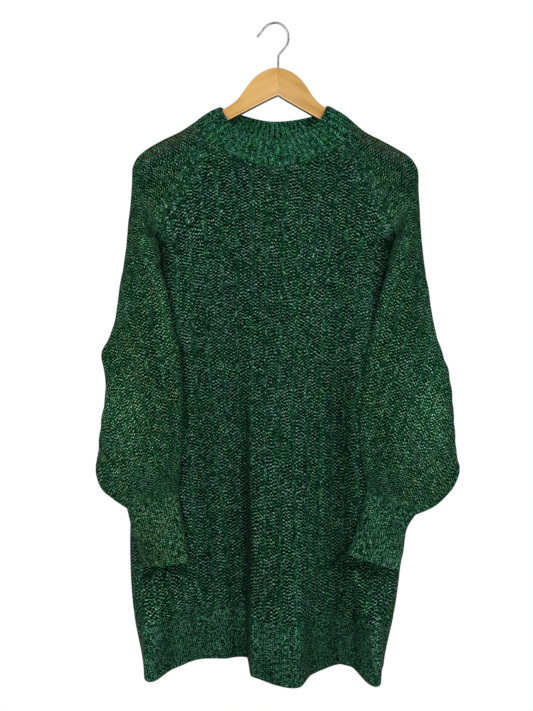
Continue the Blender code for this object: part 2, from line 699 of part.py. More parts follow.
full = slice(None)
nf, nb = len(front[0]) - 1, len(back[0]) - 1
seam(front, (0, full), (1, full), hem_front, (E, full), (-2, full), 2.6 * BAND_WALL)
seam(back, (0, full), (1, full), hem_back, (E, full), (-2, full), 2.2 * BAND_WALL)
for a, b, wall in ((front, back, KNIT_WALL), (hem_front, hem_back, BAND_WALL)):
    for i, j, i2, j2 in ((0, 0, 1, 1), (nf, nb, nf - 1, nb - 1)):
        seam(a, (full, i), (full, i2), b, (full, j), (full, j2), wall)
for g, edge, front_cols, back_cols in (
        (sleeve_left, 0, slice(S, None, -1), slice(S, None, -1)),
        (sleeve_right, 0, slice(nf - S, None), slice(nb - S, None))):
    rows = slice(0, S + 1)
    f_next = front[-2, front_cols]
    kink = kinks(g[rows, 0], g[rows, 1], front[-1, front_cols], f_next)
    moves.append((g, (rows, 0), pull_back(g[rows, 0], g[rows, 1], kink, KNIT_WALL)))
    moves.append((front, (E, front_cols), pull_back(front[-1, front_cols], f_next, kink, KNIT_WALL)))
    b_next = back[-2, back_cols]
    kink = kinks(g[rows, -1], g[rows, -2], back[-1, back_cols], b_next)
    moves.append((g, (rows, E), pull_back(g[rows, -1], g[rows, -2], kink, KNIT_WALL)))
    moves.append((back, (E, back_cols), pull_back(back[-1, back_cols], b_next, kink, KNIT_WALL)))
    # underarm seam of the tube
    low = slice(S + 1, None)
    flat = np.full(len(g[low]), 0.15)
    moves.append((g, (low, 0), pull_back(g[low, 0], g[low, 1], flat, KNIT_WALL)))
    moves.append((g, (low, E), pull_back(g[low, -1], g[low, -2], flat, KNIT_WALL)))

# collar seam, piece by piece round the ring
fm, bm_, sc = len(front_neck) - 1, len(back_neck) - 1, ROUND_COLS
ring = np.arange(len(collar[0]))
parts = [
    (front, (E, slice(nf - S, S - 1, -1)), (-2, slice(nf - S, S - 1, -1)), slice(0, fm + 1)),
    (sleeve_left, (0, full), (1, full), slice(fm, fm + sc + 1)),
    (back, (E, slice(S, nb - S + 1)), (-2, slice(S, nb - S + 1)), slice(fm + sc, fm + sc + bm_ + 1)),
    (sleeve_right, (0, slice(None, None, -1)), (1, slice(None, None, -1)), None),
]
collar_low = collar[0].copy()
turn_most = np.zeros(len(ring))
for g, edge, inside, where in parts:
    ids = np.arange(len(ring))[where] if where else np.append(np.arange(fm + sc + bm_, len(ring)), 0)
    kink = kinks(g[edge], g[inside], collar[0][ids], collar[1][ids])
    turn_most[ids] = np.maximum(turn_most[ids], kink)
    moves.append((g, edge, pull_back(g[edge], g[inside], kink, COLLAR_WALL)))
moves.append((collar, (0, full), pull_back(collar[0], collar[1], turn_most, COLLAR_WALL)))
for s, c in ((sleeve_left, cuff_left), (sleeve_right, cuff_right)):
    ring_edge = s[-1, :-1]
    kink = kinks(ring_edge, s[-2, :-1], c[0], c[1])
    moves.append((c, (0, full), pull_back(c[0], c[1], kink, BAND_WALL)))
    wrap = np.append(kink, kink[0])
    moves.append((s, (E, full), pull_back(s[-1], s[-2], wrap, BAND_WALL)))

changes = [(g, place, new - g[place]) for g, place, new in moves]
for g, place, shift in changes:
    g[place] = g[place] + shift

grid_object("front", front, KNIT_WALL, "mesh")
grid_object("back", back, KNIT_WALL, "mesh")
grid_object("hem_front", hem_front, BAND_WALL, "band")
grid_object("hem_back", hem_back, BAND_WALL, "band")
grid_object("sleeve_left", sleeve_left, KNIT_WALL, "mesh")
grid_object("sleeve_right", sleeve_right, KNIT_WALL, "mesh")
grid_object("cuff_left", cuff_left, BAND_WALL, "band", closed=True)
grid_object("cuff_right", cuff_right, BAND_WALL, "band", closed=True)
grid_object("collar", collar, COLLAR_WALL, "band", closed=True)
arm_object("hanger_arm_left", ARM_LEFT, -1)
arm_object("hanger_arm_right", ARM_RIGHT, 1)
hook_object()
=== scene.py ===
"""Looks of the sweater dress on a wooden hanger.

Every cloth piece is a fine shell on the form of its CAD solid, with the knit's
ribs, gathers and smaller folds in its mesh and the stitches in its material.
Tables are in millimetres, in the row's frame: +Z up, the front faces -Y.
"""
import math
from collections import namedtuple

import bpy
import numpy as np
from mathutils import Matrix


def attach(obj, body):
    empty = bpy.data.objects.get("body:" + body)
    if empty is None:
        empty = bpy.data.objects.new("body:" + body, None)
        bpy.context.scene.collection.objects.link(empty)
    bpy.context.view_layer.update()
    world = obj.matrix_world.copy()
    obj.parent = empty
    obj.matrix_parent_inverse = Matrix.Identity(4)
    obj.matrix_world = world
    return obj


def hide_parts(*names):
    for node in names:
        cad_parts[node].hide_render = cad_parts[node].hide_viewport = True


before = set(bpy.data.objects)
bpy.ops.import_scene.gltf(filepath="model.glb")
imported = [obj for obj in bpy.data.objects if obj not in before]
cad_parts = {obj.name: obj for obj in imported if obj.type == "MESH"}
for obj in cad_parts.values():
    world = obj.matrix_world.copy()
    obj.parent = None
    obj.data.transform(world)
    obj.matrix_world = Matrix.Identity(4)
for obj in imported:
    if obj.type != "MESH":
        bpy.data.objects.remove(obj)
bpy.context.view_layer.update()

MM = 0.001

# ------------------------------------------------------------ driving sizes
KNIT_WALL = 2.2        # open mesh of body and sleeves
BAND_WALL = 2.8        # close knit of hem and cuffs
COLLAR_WALL = 2.6      # rib, without the height of its ribs
SEAM_HALF = 0.15       # half the gap at a seam
SIDE_SEAM_HALF = -0.06 # the side seams are drawn tight
TOUCH_GAP = 4.2        # between a sleeve and the body behind it
UNDERARM_SET = 3.4     # sleeve seam set out beside the side seam at the underarm
BAND_HEIGHT = 82.0     # hem band
WIRE = 3.5             # hook wire diameter
WOOD_HALF = 6.0        # half thickness of the hanger wood
JOINT_X = 3.0          # plane where the two hanger halves meet

WALES = 6.0            # stitches across one rib and the open net beside it
COURSE = 5.2           # from hole to hole up one column of the open net
SLEEVE_RIB = 24.6      # rib spacing on the sleeves, on the cloth
COLLAR_RIBS = 52
COLLAR_RIB_HEIGHT = 1.35

UNDERARM_Z = -362.0
UNDERARM_PRESS = (4.5, 7.0)   # right, left: inner fold of the sleeve toward the body
NECK_SIDE_Z = -198.0   # where raglan seams meet the collar, front
NECK_SIDE_BACK_Z = -180.0

# level sections of the body: side seams, depth of the plain front and back
Section = namedtuple("Section", "z left right side front back corner")
BODY = [
    Section(-160, -272, 272, 0, -20, 18, 40),
    Section(-200, -272, 272, 0, -25, 21, 40),
    Section(-252, -266, 266, 0, -29, 24, 44),
    Section(-293, -250, 249, 0, -31, 26, 50),
    Section(-333, -226, 223, 1, -31, 28, 55),
    Section(-362, -198, 195, 2, -31, 29, 60),
    Section(-400, -200, 197, 7, -31, 30, 60),
    Section(-440, -204, 199, 11, -31, 30, 60),
    Section(-500, -211, 203, 13, -32, 31, 60),
    Section(-650, -228, 209, 14, -34, 32, 60),
    Section(-780, -238, 210, 12, -35, 32, 50),
    Section(-880, -239, 204, 8, -34, 32, 36),
    Section(-960, -233, 193, 4, -30, 30, 28),
    Section(-1040, -218, 176, 2, -24, 28, 20),
    Section(-1075, -213, 172, 2, -22, 28, 18),
]

# raglan seams: distance of the seam out from the centre line
Raglan = namedtuple("Raglan", "z left right")
RAGLAN = [
    Raglan(-178, -106, 104),
    Raglan(-198, -115, 114),
    Raglan(-225, -130, 130),
    Raglan(-252, -144, 146),
    Raglan(-293, -168, 169),
    Raglan(-333, -187, 186),
    Raglan(-362, -198, 195),
]

# largest folds, as in the CAD: a flat-topped ridge (depth < 0, forward) or
# trough (depth > 0) between a left and a right edge
Fold = namedtuple("Fold", "name left_top left_low right_top right_low "
                          "soft_left soft_right z_begin z_full z_fade z_end depth")
FRONT_FOLDS = [
    Fold("centre_lobe",   -44, -41,  56,  56,   9, 62, -560, -900, -1200, -1300, -44),
    Fold("lobe_at_hem",   -44, -41,  42,  47,   8, 22, -880, -1050, -1200, -1300, -30),
    Fold("right_valley",   86,  94, 124, 116,  36, 32, -480, -640, -1200, -1300, 14),
    Fold("left_valley",  -150, -150, -66, -58, 40, 20, -500, -760, -1200, -1300, 8),
    Fold("left_side",    -214, -208, -186, -178, 12, 46, -900, -1050, -1200, -1300, -46),
    Fold("right_side",    142, 136, 170, 160,  34, 12, -900, -1050, -1200, -1300, -50),
]
BACK_FOLDS = [
    Fold("back_left",    -150, -158, -104, -96, 44, 40, -430, -760, -1200, -1300, 13),
    Fold("back_centre",   -34, -44,   10,  24,  40, 46, -520, -820, -1200, -1300, 16),
    Fold("back_right",     88,  84,  128, 128,  38, 34, -460, -800, -1200, -1300, 11),
]

# smaller folds that only the looks need
FINE_FRONT_FOLDS = [
    Fold("beside_lobe",    -68, -66, -47, -45, 34, 10, -540, -660, -1030, -1090, 8.0),
    Fold("right_deep",      84,  88, 112, 112, 26, 22, -560, -700, -1010, -1080, 5.0),
    Fold("left_soft",     -128, -120, -112, -100, 22, 24, -430, -600, -900, -1040, 3.5),
    Fold("left_ridge",    -100, -96, -88, -82, 18, 20, -480, -640, -900, -1020, -2.5),
    Fold("left_outer",    -178, -184, -160, -168, 18, 18, -860, -930, -1060, -1120, 4.0),
    Fold("right_outer",    118, 116, 132, 128, 16, 16, -850, -930, -1060, -1120, 5.0),
    Fold("chest_left",     -62, -40, -48, -24, 24, 22, -300, -420, -520, -640, -1.8),
    Fold("chest_right",     44,  30,  60,  48, 26, 26, -330, -430, -520, -640, 2.0),
]
FINE_BACK_FOLDS = [
    Fold("b1", -190, -196, -176, -180, 20, 20, -480, -700, -1010, -1080, -4.0),
    Fold("b2",  -84, -80, -62, -66, 22, 24, -420, -640, -980, -1080, -4.5),
    Fold("b3",   52,  46,  68,  64, 22, 22, -440, -640, -980, -1080, -4.5),
    Fold("b4",  150, 152, 166, 166, 20, 20, -520, -740, -1010, -1080, -3.5),
    Fold("b5",  -20, -26,  -8, -12, 18, 18, -300, -420, -560, -700, 2.0),
]

# level of the hem across the front and the back
Hem = namedtuple("Hem", "x front back")
HEM = [
    Hem(-218, -1050, -1050), Hem(-196, -1056, -1051), Hem(-166, -1049, -1050),
    Hem(-125, -1037, -1047), Hem(-80, -1035, -1045), Hem(-46, -1033, -1043),
    Hem(-30, -1038, -1043), Hem(2, -1049, -1043), Hem(26, -1053, -1042),
    Hem(42, -1052, -1042), Hem(62, -1050, -1043), Hem(108, -1048, -1045),
    Hem(124, -1050, -1046), Hem(145, -1060, -1048), Hem(158, -1060, -1049),
    Hem(176, -1050, -1050),
]

# rib lines of the body: x of the middle rib and the spacing on the cloth
Rib = namedtuple("Rib", "z centre spacing pucker")
FRONT_RIBS = [
    Rib(-165, -12, 31.0, 0.1), Rib(-254, -12, 28.2, 0.35), Rib(-375, -14, 24.6, 0.7),
    Rib(-503, -17, 23.4, 1.3), Rib(-600, -18, 21.9, 1.9), Rib(-700, -18.5, 22.6, 2.0),
    Rib(-840, -19, 24.2, 1.7), Rib(-930, -19, 24.6, 1.3), Rib(-975, -19, 24.6, 0.5),
    Rib(-1070, -19, 24.6, 0.2),
]
BACK_RIBS = [
    Rib(-155, -2, 31.0, 0.1), Rib(-254, -2, 28.2, 0.35), Rib(-375, -2, 24.6, 0.7),
    Rib(-503, -2, 23.4, 1.3), Rib(-600, -2, 22.4, 1.7), Rib(-700, -2, 22.8, 1.8),
    Rib(-840, -2, 24.2, 1.6), Rib(-930, -2, 24.6, 1.2), Rib(-975, -2, 24.6, 0.5),
    Rib(-1070, -2, 24.6, 0.2),
]

# crest of the shoulder, over the hanger and down the outside of the arm
Crest = namedtuple("Crest", "x y z")
CREST_LEFT = [
    Crest(-128, 0, -159), Crest(-156, 0, -177.5), Crest(-184, 0, -190.8),
    Crest(-208, 0, -204), Crest(-224, -1, -217), Crest(-231, -3, -230),
    Crest(-234, -6, -246), Crest(-234, -9, -290), Crest(-240, -12, -320),
    Crest(-243, -16, -346),
]
CREST_RIGHT = [
    Crest(120, 0, -157.5), Crest(144, 0, -177.5), Crest(170, 0, -190.8),
    Crest(194, 0, -204), Crest(215, -1, -217), Crest(226, -3, -230),
    Crest(232, -6, -248), Crest(230, -9, -292), Crest(233, -12, -320),
    Crest(236, -16, -346),
]
CREST_SHARES = [0.0, 0.14, 0.28, 0.40, 0.50, 0.61, 0.80, 1.0]

# sleeve below the underarm: tilted ovals
Oval = namedtuple("Oval", "z inner outer y half turn drop")
SLEEVE_LEFT = [
    Oval(-378, -193, -248, -17, 24, 67, 0),
    Oval(-416, -180, -253, -24, 23, 44, 0),
    Oval(-458, -171, -259, -27, 24, 31, 0),
    Oval(-500, -164, -264, -29, 24, 22, 0),
    Oval(-520, -158, -271, -31, 25, 18, 0),
    Oval(-541, -153, -281, -33, 25, 15, 0),
    Oval(-566, -151, -277, -35, 25, 13, 0),
    Oval(-590, -150, -273, -36, 25, 11, 0),
    Oval(-645, -148, -279, -38, 26, 8, 0),
    Oval(-700, -151, -285, -39, 26, 7, 1),
    Oval(-732, -153, -288, -39, 24, 6, 5),
    Oval(-752, -155, -275, -39, 20, 5, 9),
    Oval(-767, -157, -252, -38, 16, 4, 12),
    Oval(-776, -158.5, -238, -38, 13, 3, 12),
]
SLEEVE_RIGHT = [
    Oval(-378, 186, 240, -17, 24, 67, 0),
    Oval(-416, 173, 245, -24, 23, 44, 0),
    Oval(-458, 162, 251, -27, 24, 32, 0),
    Oval(-500, 155, 257, -29, 24, 23, 0),
    Oval(-520, 151, 262, -31, 25, 18, 0),
    Oval(-541, 146, 269, -33, 25, 15, 0),
    Oval(-566, 142, 277, -35, 25, 13, 0),
    Oval(-590, 139, 281, -36, 25, 11, 0),
    Oval(-645, 134, 285, -38, 26, 8, 0),
    Oval(-700, 134, 288, -39, 26, 7, 1),
    Oval(-730, 138, 291, -39, 24, 6, 5),
    Oval(-752, 142, 276, -39, 20, 5, 12),
    Oval(-768, 144, 254, -38, 16, 4, 17),
    Oval(-779, 145, 222, -38, 13, 3, 19),
]
CUFF_LEFT = [
    Oval(-776, -158.5, -238, -38, 13, 3, 12),
    Oval(-800, -153, -233, -38, 15, 3, 10),
    Oval(-840, -146, -223, -38, 15, 3, 6),
    Oval(-877, -140, -214, -38, 14, 3, 4),
]
CUFF_RIGHT = [
    Oval(-779, 145, 222, -38, 13, 3, 19),
    Oval(-802, 138, 208, -38, 15, 3, 16),
    Oval(-840, 126, 202, -38, 15, 3, 13),
    Oval(-874, 115, 196, -38, 14, 3, 12),
]

# how far from upright the ribs of a sleeve lie at a level, toward the body as they
# go down, and how much closer together they are than at the top
Slant = namedtuple("Slant", "z lean gather")
SLANT_LEFT = [
    Slant(-340, 0.00, 1.00), Slant(-380, 0.14, 1.00), Slant(-440, 0.20, 1.00),
    Slant(-541, 0.19, 1.06), Slant(-640, 0.17, 1.28), Slant(-700, 0.16, 1.45),
    Slant(-776, 0.12, 1.62),
]
SLANT_RIGHT = [
    Slant(-340, 0.00, 1.00), Slant(-380, 0.14, 1.00), Slant(-440, 0.22, 1.00),
    Slant(-541, 0.25, 1.06), Slant(-640, 0.27, 1.26), Slant(-700, 0.26, 1.42),
    Slant(-779, 0.20, 1.60),
]

# creases of the sleeves. around is the place round the sleeve from its inner
# back (0), by the inner edge (0.25) and the front to the outer edge (0.6)
Crease = namedtuple("Crease", "z_top z_low around_top around_low width depth")
CREASES_LEFT = [
    Crease(-560, -775, 0.33, 0.30, 0.030, -3.5),
    Crease(-590, -740, 0.40, 0.39, 0.050, 3.0),
    Crease(-640, -780, 0.48, 0.42, 0.028, -3.0),
    Crease(-700, -776, 0.55, 0.47, 0.024, -2.6),
    Crease(-690, -776, 0.37, 0.35, 0.020, -2.2),
    Crease(-515, -600, 0.58, 0.50, 0.040, -3.0),
    Crease(-330, -500, 0.40, 0.34, 0.040, -3.5),
    Crease(-240, -420, 0.47, 0.44, 0.035, -2.0),
    Crease(-420, -600, 0.46, 0.44, 0.045, 2.0),
    Crease(-420, -760, 0.80, 0.82, 0.050, -2.5),
    Crease(-500, -760, 0.92, 0.94, 0.040, -2.0),
]
CREASES_RIGHT = [
    Crease(-560, -775, 0.32, 0.31, 0.030, -3.5),
    Crease(-560, -740, 0.43, 0.42, 0.055, 3.2),
    Crease(-620, -780, 0.38, 0.40, 0.026, -3.0),
    Crease(-690, -778, 0.53, 0.46, 0.024, -3.0),
    Crease(-700, -778, 0.47, 0.44, 0.018, -2.0),
    Crease(-520, -620, 0.57, 0.52, 0.040, -2.4),
    Crease(-300, -500, 0.40, 0.33, 0.038, -4.0),
    Crease(-230, -400, 0.48, 0.43, 0.035, -2.4),
    Crease(-430, -600, 0.46, 0.45, 0.045, 2.0),
    Crease(-430, -760, 0.80, 0.81, 0.050, -2.5),
    Crease(-500, -760, 0.91, 0.93, 0.040, -2.0),
]

# folded top edge of the collar, once round from the front centre by the left
Rim = namedtuple("Rim", "place x y z")
COLLAR_RIM = [
    Rim("front", -2, -32, -196), Rim("", -30, -32, -192.5),
    Rim("", -54, -28, -183), Rim("side_front", -74, -20, -168),
    Rim("", -84, -12.5, -153), Rim("", -89.5, -8.6, -142),
    Rim("peak", -90, 0, -137), Rim("", -86, 9, -139.5),
    Rim("side_back", -66, 18, -144), Rim("", -30, 26, -152),
    Rim("back", -2, 28, -155), Rim("", 30, 26, -153),
    Rim("side_back", 60, 18, -148.5), Rim("", 78, 9, -140),
    Rim("peak", 82.5, 0, -135), Rim("", 81, -8.6, -141),
    Rim("", 76, -12.5, -151.5), Rim("side_front", 67, -20, -167),
    Rim("", 49, -28, -182), Rim("", 25, -32, -192.5),
]

NECK_CENTRE_X = -2.0
NECK_FRONT_DROP = 43.0
NECK_BACK_DROP = 20.0
NECK_POWER = 1.6

# hanger arm sections: top and bottom edge of the wood
Arm = namedtuple("Arm", "x top bottom")
ARM_LEFT = [
    Arm(3, -73.0, -118.3), Arm(-10, -74.9, -124.0), Arm(-23, -80.4, -130.6),
    Arm(-36, -90.0, -137.3), Arm(-46, -101.4, -142.5), Arm(-56, -115.6, -147.7),
    Arm(-66, -127.6, -152.8), Arm(-76, -135.0, -158.0), Arm(-88, -142.3, -164.2),
    Arm(-104, -151.4, -172.2), Arm(-128, -165.4, -184.0), Arm(-156, -185.0, -201.5),
    Arm(-184, -199.0, -215.0), Arm(-203, -211.0, -226.0), Arm(-213, -219.5, -232.0),
]
ARM_RIGHT = [
    Arm(3, -73.0, -118.3), Arm(16, -76.4, -126.4), Arm(31, -84.4, -135.0),
    Arm(42, -94.4, -141.2), Arm(50, -105.0, -145.8), Arm(58, -117.6, -150.4),
    Arm(66, -127.4, -155.0), Arm(74, -134.4, -159.6), Arm(84, -141.2, -164.6),
    Arm(98, -150.0, -171.0), Arm(120, -164.5, -182.5), Arm(144, -184.5, -201.0),
    Arm(170, -198.5, -214.5), Arm(190, -209.5, -225.5), Arm(205, -220.5, -233.0),
]

# centre line of the hook wire, tip to stem
Wire = namedtuple("Wire", "x z")
HOOK = [
    Wire(-31.0, -21.6), Wire(-24.0, -12.8), Wire(-17.6, -5.0), Wire(-10.0, -0.1),
    Wire(0.0, 1.75), Wire(8.5, -0.9), Wire(14.6, -6.8), Wire(18.6, -14.0),
    Wire(20.0, -22.0), Wire(19.6, -29.0), Wire(17.0, -35.5), Wire(11.2, -42.9),
    Wire(5.6, -49.4), Wire(4.0, -52.6), Wire(3.2, -57.0), Wire(3.0, -66.0),
    Wire(3.0, -92.0),
]

# painted light and painted shade: patches where the cloth's colour is made lighter or darker than its lie
# accounts for
PaintedShading = namedtuple("PaintedShading", "x z wide high gain")
FRONT_PAINTED_SHADING = [
    PaintedShading(-56, -740, 18, 150, 0.84), PaintedShading(-40, -840, 9, 110, 0.54),
    PaintedShading(112, -885, 26, 22, 0.78), PaintedShading(28, -640, 22, 110, 1.08),
    PaintedShading(114, -1000, 16, 30, 1.16), PaintedShading(166, -900, 14, 40, 1.12),
    PaintedShading(-192, -905, 14, 20, 1.18), PaintedShading(118, -240, 14, 30, 0.88),
    PaintedShading(122, -740, 16, 130, 0.86), PaintedShading(86, -760, 14, 170, 1.18),
    PaintedShading(-168, -450, 14, 60, 1.40), PaintedShading(140, -475, 14, 60, 1.45),
    PaintedShading(102, -810, 12, 60, 1.20), PaintedShading(94, -950, 14, 80, 1.20),
    PaintedShading(-24, -1010, 20, 50, 0.76), PaintedShading(-40, -360, 200, 24, 1.06),
    PaintedShading(58, -860, 26, 200, 1.22), PaintedShading(-190, -1010, 34, 80, 1.20),
    PaintedShading(180, -1010, 18, 80, 1.12), PaintedShading(45, -420, 40, 190, 1.10),
    PaintedShading(120, -330, 16, 110, 0.88), PaintedShading(-62, -600, 30, 60, 0.84),
    PaintedShading(14, -1040, 44, 34, 0.76), PaintedShading(-60, -1030, 30, 30, 0.84),
    PaintedShading(118, -1030, 20, 40, 1.22), PaintedShading(146, -880, 18, 26, 0.84),
    PaintedShading(91, -630, 12, 34, 1.10), PaintedShading(92, -746, 10, 24, 1.12),
    PaintedShading(116, -1015, 14, 34, 1.14), PaintedShading(-143, -760, 12, 26, 0.84),
    PaintedShading(-65, -389, 14, 16, 1.20), PaintedShading(38, -389, 14, 18, 1.15),
    PaintedShading(38, -490, 14, 24, 1.12), PaintedShading(-140, -290, 12, 40, 0.90),
    PaintedShading(114, -438, 12, 26, 0.86), PaintedShading(102, -519, 20, 14, 0.86),
    PaintedShading(130, -945, 20, 24, 0.86), PaintedShading(84, -880, 26, 20, 0.84),
    PaintedShading(38, -930, 34, 40, 1.10), PaintedShading(38, -1030, 18, 24, 1.12),
    PaintedShading(-169, -1035, 14, 16, 1.14), PaintedShading(-117, -908, 12, 16, 1.18),
    PaintedShading(-65, -908, 10, 14, 1.14), PaintedShading(-40, -275, 14, 20, 0.86),
    # in the shade of the cuffs
    PaintedShading(-190, -890, 16, 5.5, 0.62), PaintedShading(-162, -889, 16, 5.5, 0.62),
    PaintedShading(122, -884, 14, 6, 0.60), PaintedShading(142, -889, 13, 6, 0.60),
    PaintedShading(160, -895, 13, 6, 0.60), PaintedShading(178, -901, 12, 6, 0.68),
    PaintedShading(138, -787, 7, 18, 0.66), PaintedShading(129, -820, 7, 18, 0.62),
    PaintedShading(120, -852, 7, 18, 0.60), PaintedShading(112, -874, 8, 10, 0.66),
]
LEFT_PAINTED_SHADING = [
    PaintedShading(-258, -625, 28, 55, 1.55), PaintedShading(-222, -630, 16, 60, 1.18),
    PaintedShading(-172, -470, 14, 90, 1.32), PaintedShading(-252, -470, 18, 70, 1.18),
    PaintedShading(-188, -560, 16, 60, 0.86), PaintedShading(-176, -450, 12, 60, 1.25),
    PaintedShading(-243, -660, 16, 60, 1.12), PaintedShading(-205, -362, 34, 22, 1.22),
    PaintedShading(-240, -500, 18, 50, 1.16), PaintedShading(-205, -232, 26, 18, 1.20),
    PaintedShading(-217, -640, 12, 40, 1.16), PaintedShading(-200, -535, 16, 24, 0.86),
    PaintedShading(-141, -262, 14, 24, 0.86), PaintedShading(-218, -615, 12, 16, 1.16),
    PaintedShading(-243, -503, 12, 24, 1.16), PaintedShading(-193, -359, 12, 14, 1.15),
    PaintedShading(-214, -245, 16, 24, 1.12),
]
RIGHT_PAINTED_SHADING = [
    PaintedShading(248, -625, 34, 85, 1.70), PaintedShading(166, -700, 20, 70, 0.78),
    PaintedShading(216, -264, 14, 28, 0.86), PaintedShading(214, -232, 14, 14, 1.18),
    PaintedShading(215, -640, 14, 44, 1.10), PaintedShading(242, -500, 14, 60, 1.15),
    PaintedShading(166, -522, 10, 22, 0.80), PaintedShading(130, -240, 22, 34, 0.86),
    PaintedShading(164, -329, 13, 17, 0.76), PaintedShading(258, -480, 20, 60, 1.50),
    PaintedShading(160, -445, 14, 40, 1.20), PaintedShading(150, -475, 12, 60, 1.25),
    PaintedShading(222, -690, 34, 60, 1.16), PaintedShading(205, -362, 34, 22, 1.18),
    PaintedShading(246, -770, 30, 24, 1.15), PaintedShading(150, -775, 20, 20, 0.84),
    PaintedShading(166, -391, 12, 14, 1.15), PaintedShading(243, -460, 12, 40, 1.14),
]
CUFF_PAINTED_SHADING = [
    PaintedShading(-206, -862, 26, 34, 0.66), PaintedShading(-160, -845, 20, 30, 1.12),
    PaintedShading(126, -800, 20, 40, 0.85), PaintedShading(186, -868, 24, 22, 1.22),
    PaintedShading(186, -812, 26, 24, 0.86),
]

# facets of each piece
PANEL_COLS, PANEL_ROWS = 210, 150
HEM_ROWS = 22
RAGLAN_ROWS, SLEEVE_COLS = 48, 132
OVAL_STEP = 4.5
CUFF_COLS, CUFF_ROWS = 120, 34
COLLAR_ARCS = (168, 48, 152, 48)
COLLAR_ROWS = 14


# ------------------------------------------------------------------ helpers
def column(table, name):
    return np.array([getattr(row, name) for row in table], dtype=float)


def hermite(x, xs, ys):
    x = np.asarray(x, dtype=float)
    if xs[0] > xs[-1]:
        xs, ys = xs[::-1], ys[::-1]
    slopes = np.gradient(ys, xs)
    x = np.clip(x, xs[0], xs[-1])
    i = np.clip(np.searchsorted(xs, x, side="right") - 1, 0, len(xs) - 2)
    step = xs[i + 1] - xs[i]
    t = (x - xs[i]) / step
    return ((2 * t**3 - 3 * t**2 + 1) * ys[i] + (t**3 - 2 * t**2 + t) * step * slopes[i]
            + (3 * t**2 - 2 * t**3) * ys[i + 1] + (t**3 - t**2) * step * slopes[i + 1])


def at(table, key, name, value):
    return hermite(value, column(table, key), column(table, name))


def ease(t):
    t = np.clip(t, 0.0, 1.0)
    return t * t * (3.0 - 2.0 * t)


def resample(points, count):
    points = np.asarray(points, dtype=float)
    step = np.linalg.norm(np.diff(points, axis=0), axis=1)
    run = np.concatenate([[0.0], np.cumsum(step)])
    want = np.linspace(0.0, run[-1], count + 1)
    return np.stack([np.interp(want, run, points[:, k]) for k in range(3)], axis=1)


def smooth_path(points, per_step=12, closed=False):
    p = np.asarray(points, dtype=float)
    n = len(p)
    out = []
    for i in range(n if closed else n - 1):
        if closed:
            a, b, c, d = p[i - 1], p[i], p[(i + 1) % n], p[(i + 2) % n]
        else:
            a, b, c, d = p[max(i - 1, 0)], p[i], p[i + 1], p[min(i + 2, n - 1)]
        for t in np.arange(per_step) / per_step:
            out.append(0.5 * (2 * b + (c - a) * t + (2 * a - 5 * b + 4 * c - d) * t**2
                              + (3 * b - 3 * c + d - a) * t**3))
    if not closed:
        out.append(p[-1])
    return np.array(out)


def noise(x, y, seed):
    """Smooth noise from -1 to 1, one lump to a unit, the same on every run."""
    table = np.random.default_rng(seed).uniform(-1.0, 1.0, (64, 64))
    x, y = np.broadcast_arrays(np.asarray(x, float), np.asarray(y, float))
    i, j = np.floor(x).astype(int), np.floor(y).astype(int)
    u, v = ease(x - i), ease(y - j)
    a, b = table[i % 64, j % 64], table[(i + 1) % 64, j % 64]
    c, d = table[i % 64, (j + 1) % 64], table[(i + 1) % 64, (j + 1) % 64]
    return (a * (1 - u) + b * u) * (1 - v) + (c * (1 - u) + d * u) * v


def blur(field, times, closed=False):
    for _ in range(times):
        field = field.copy()
        field[1:-1] = 0.5 * field[1:-1] + 0.25 * (field[:-2] + field[2:])
        if closed:
            field = 0.5 * field + 0.25 * (np.roll(field, 1, 1) + np.roll(field, -1, 1))
        else:
            field[:, 1:-1] = 0.5 * field[:, 1:-1] + 0.25 * (field[:, :-2] + field[:, 2:])
    return field


def normals(grid, closed=False):
    if closed:
        across = np.roll(grid, -1, 1) - np.roll(grid, 1, 1)
    else:
        across = np.gradient(grid, axis=1)
    along = np.gradient(grid, axis=0)
    n = np.cross(across, along)
    return n / np.maximum(np.linalg.norm(n, axis=2), 1e-9)[..., None]


# ------------------------------------------------------- form of the garment
def fold_depth(folds, x, z):
    total = np.zeros(np.broadcast(x, z).shape)
    for f in folds:
        run = np.clip((f.z_begin - z) / (f.z_begin - f.z_end), 0.0, 1.0)
        left = f.left_top + (f.left_low - f.left_top) * run
        right = f.right_top + (f.right_low - f.right_top) * run
        across = ease((x - left) / f.soft_left + 0.5) * ease((right - x) / f.soft_right + 0.5)
        along = (ease((f.z_begin - z) / (f.z_begin - f.z_full))
                 * ease((z - f.z_end) / (f.z_fade - f.z_end)))
        total = total + f.depth * across * along
    return total


def oval_axes(table, z):
    inner = at(table, "z", "inner", z)
    outer = at(table, "z", "outer", z)
    half = at(table, "z", "half", z)
    turn = np.radians(at(table, "z", "turn", z))
    reach = abs(inner - outer) / 2
    longer = np.sqrt(np.maximum(reach**2 - (half * np.sin(turn))**2, 1.0)) / np.cos(turn)
    return (inner + outer) / 2, at(table, "z", "y", z), longer, half, turn


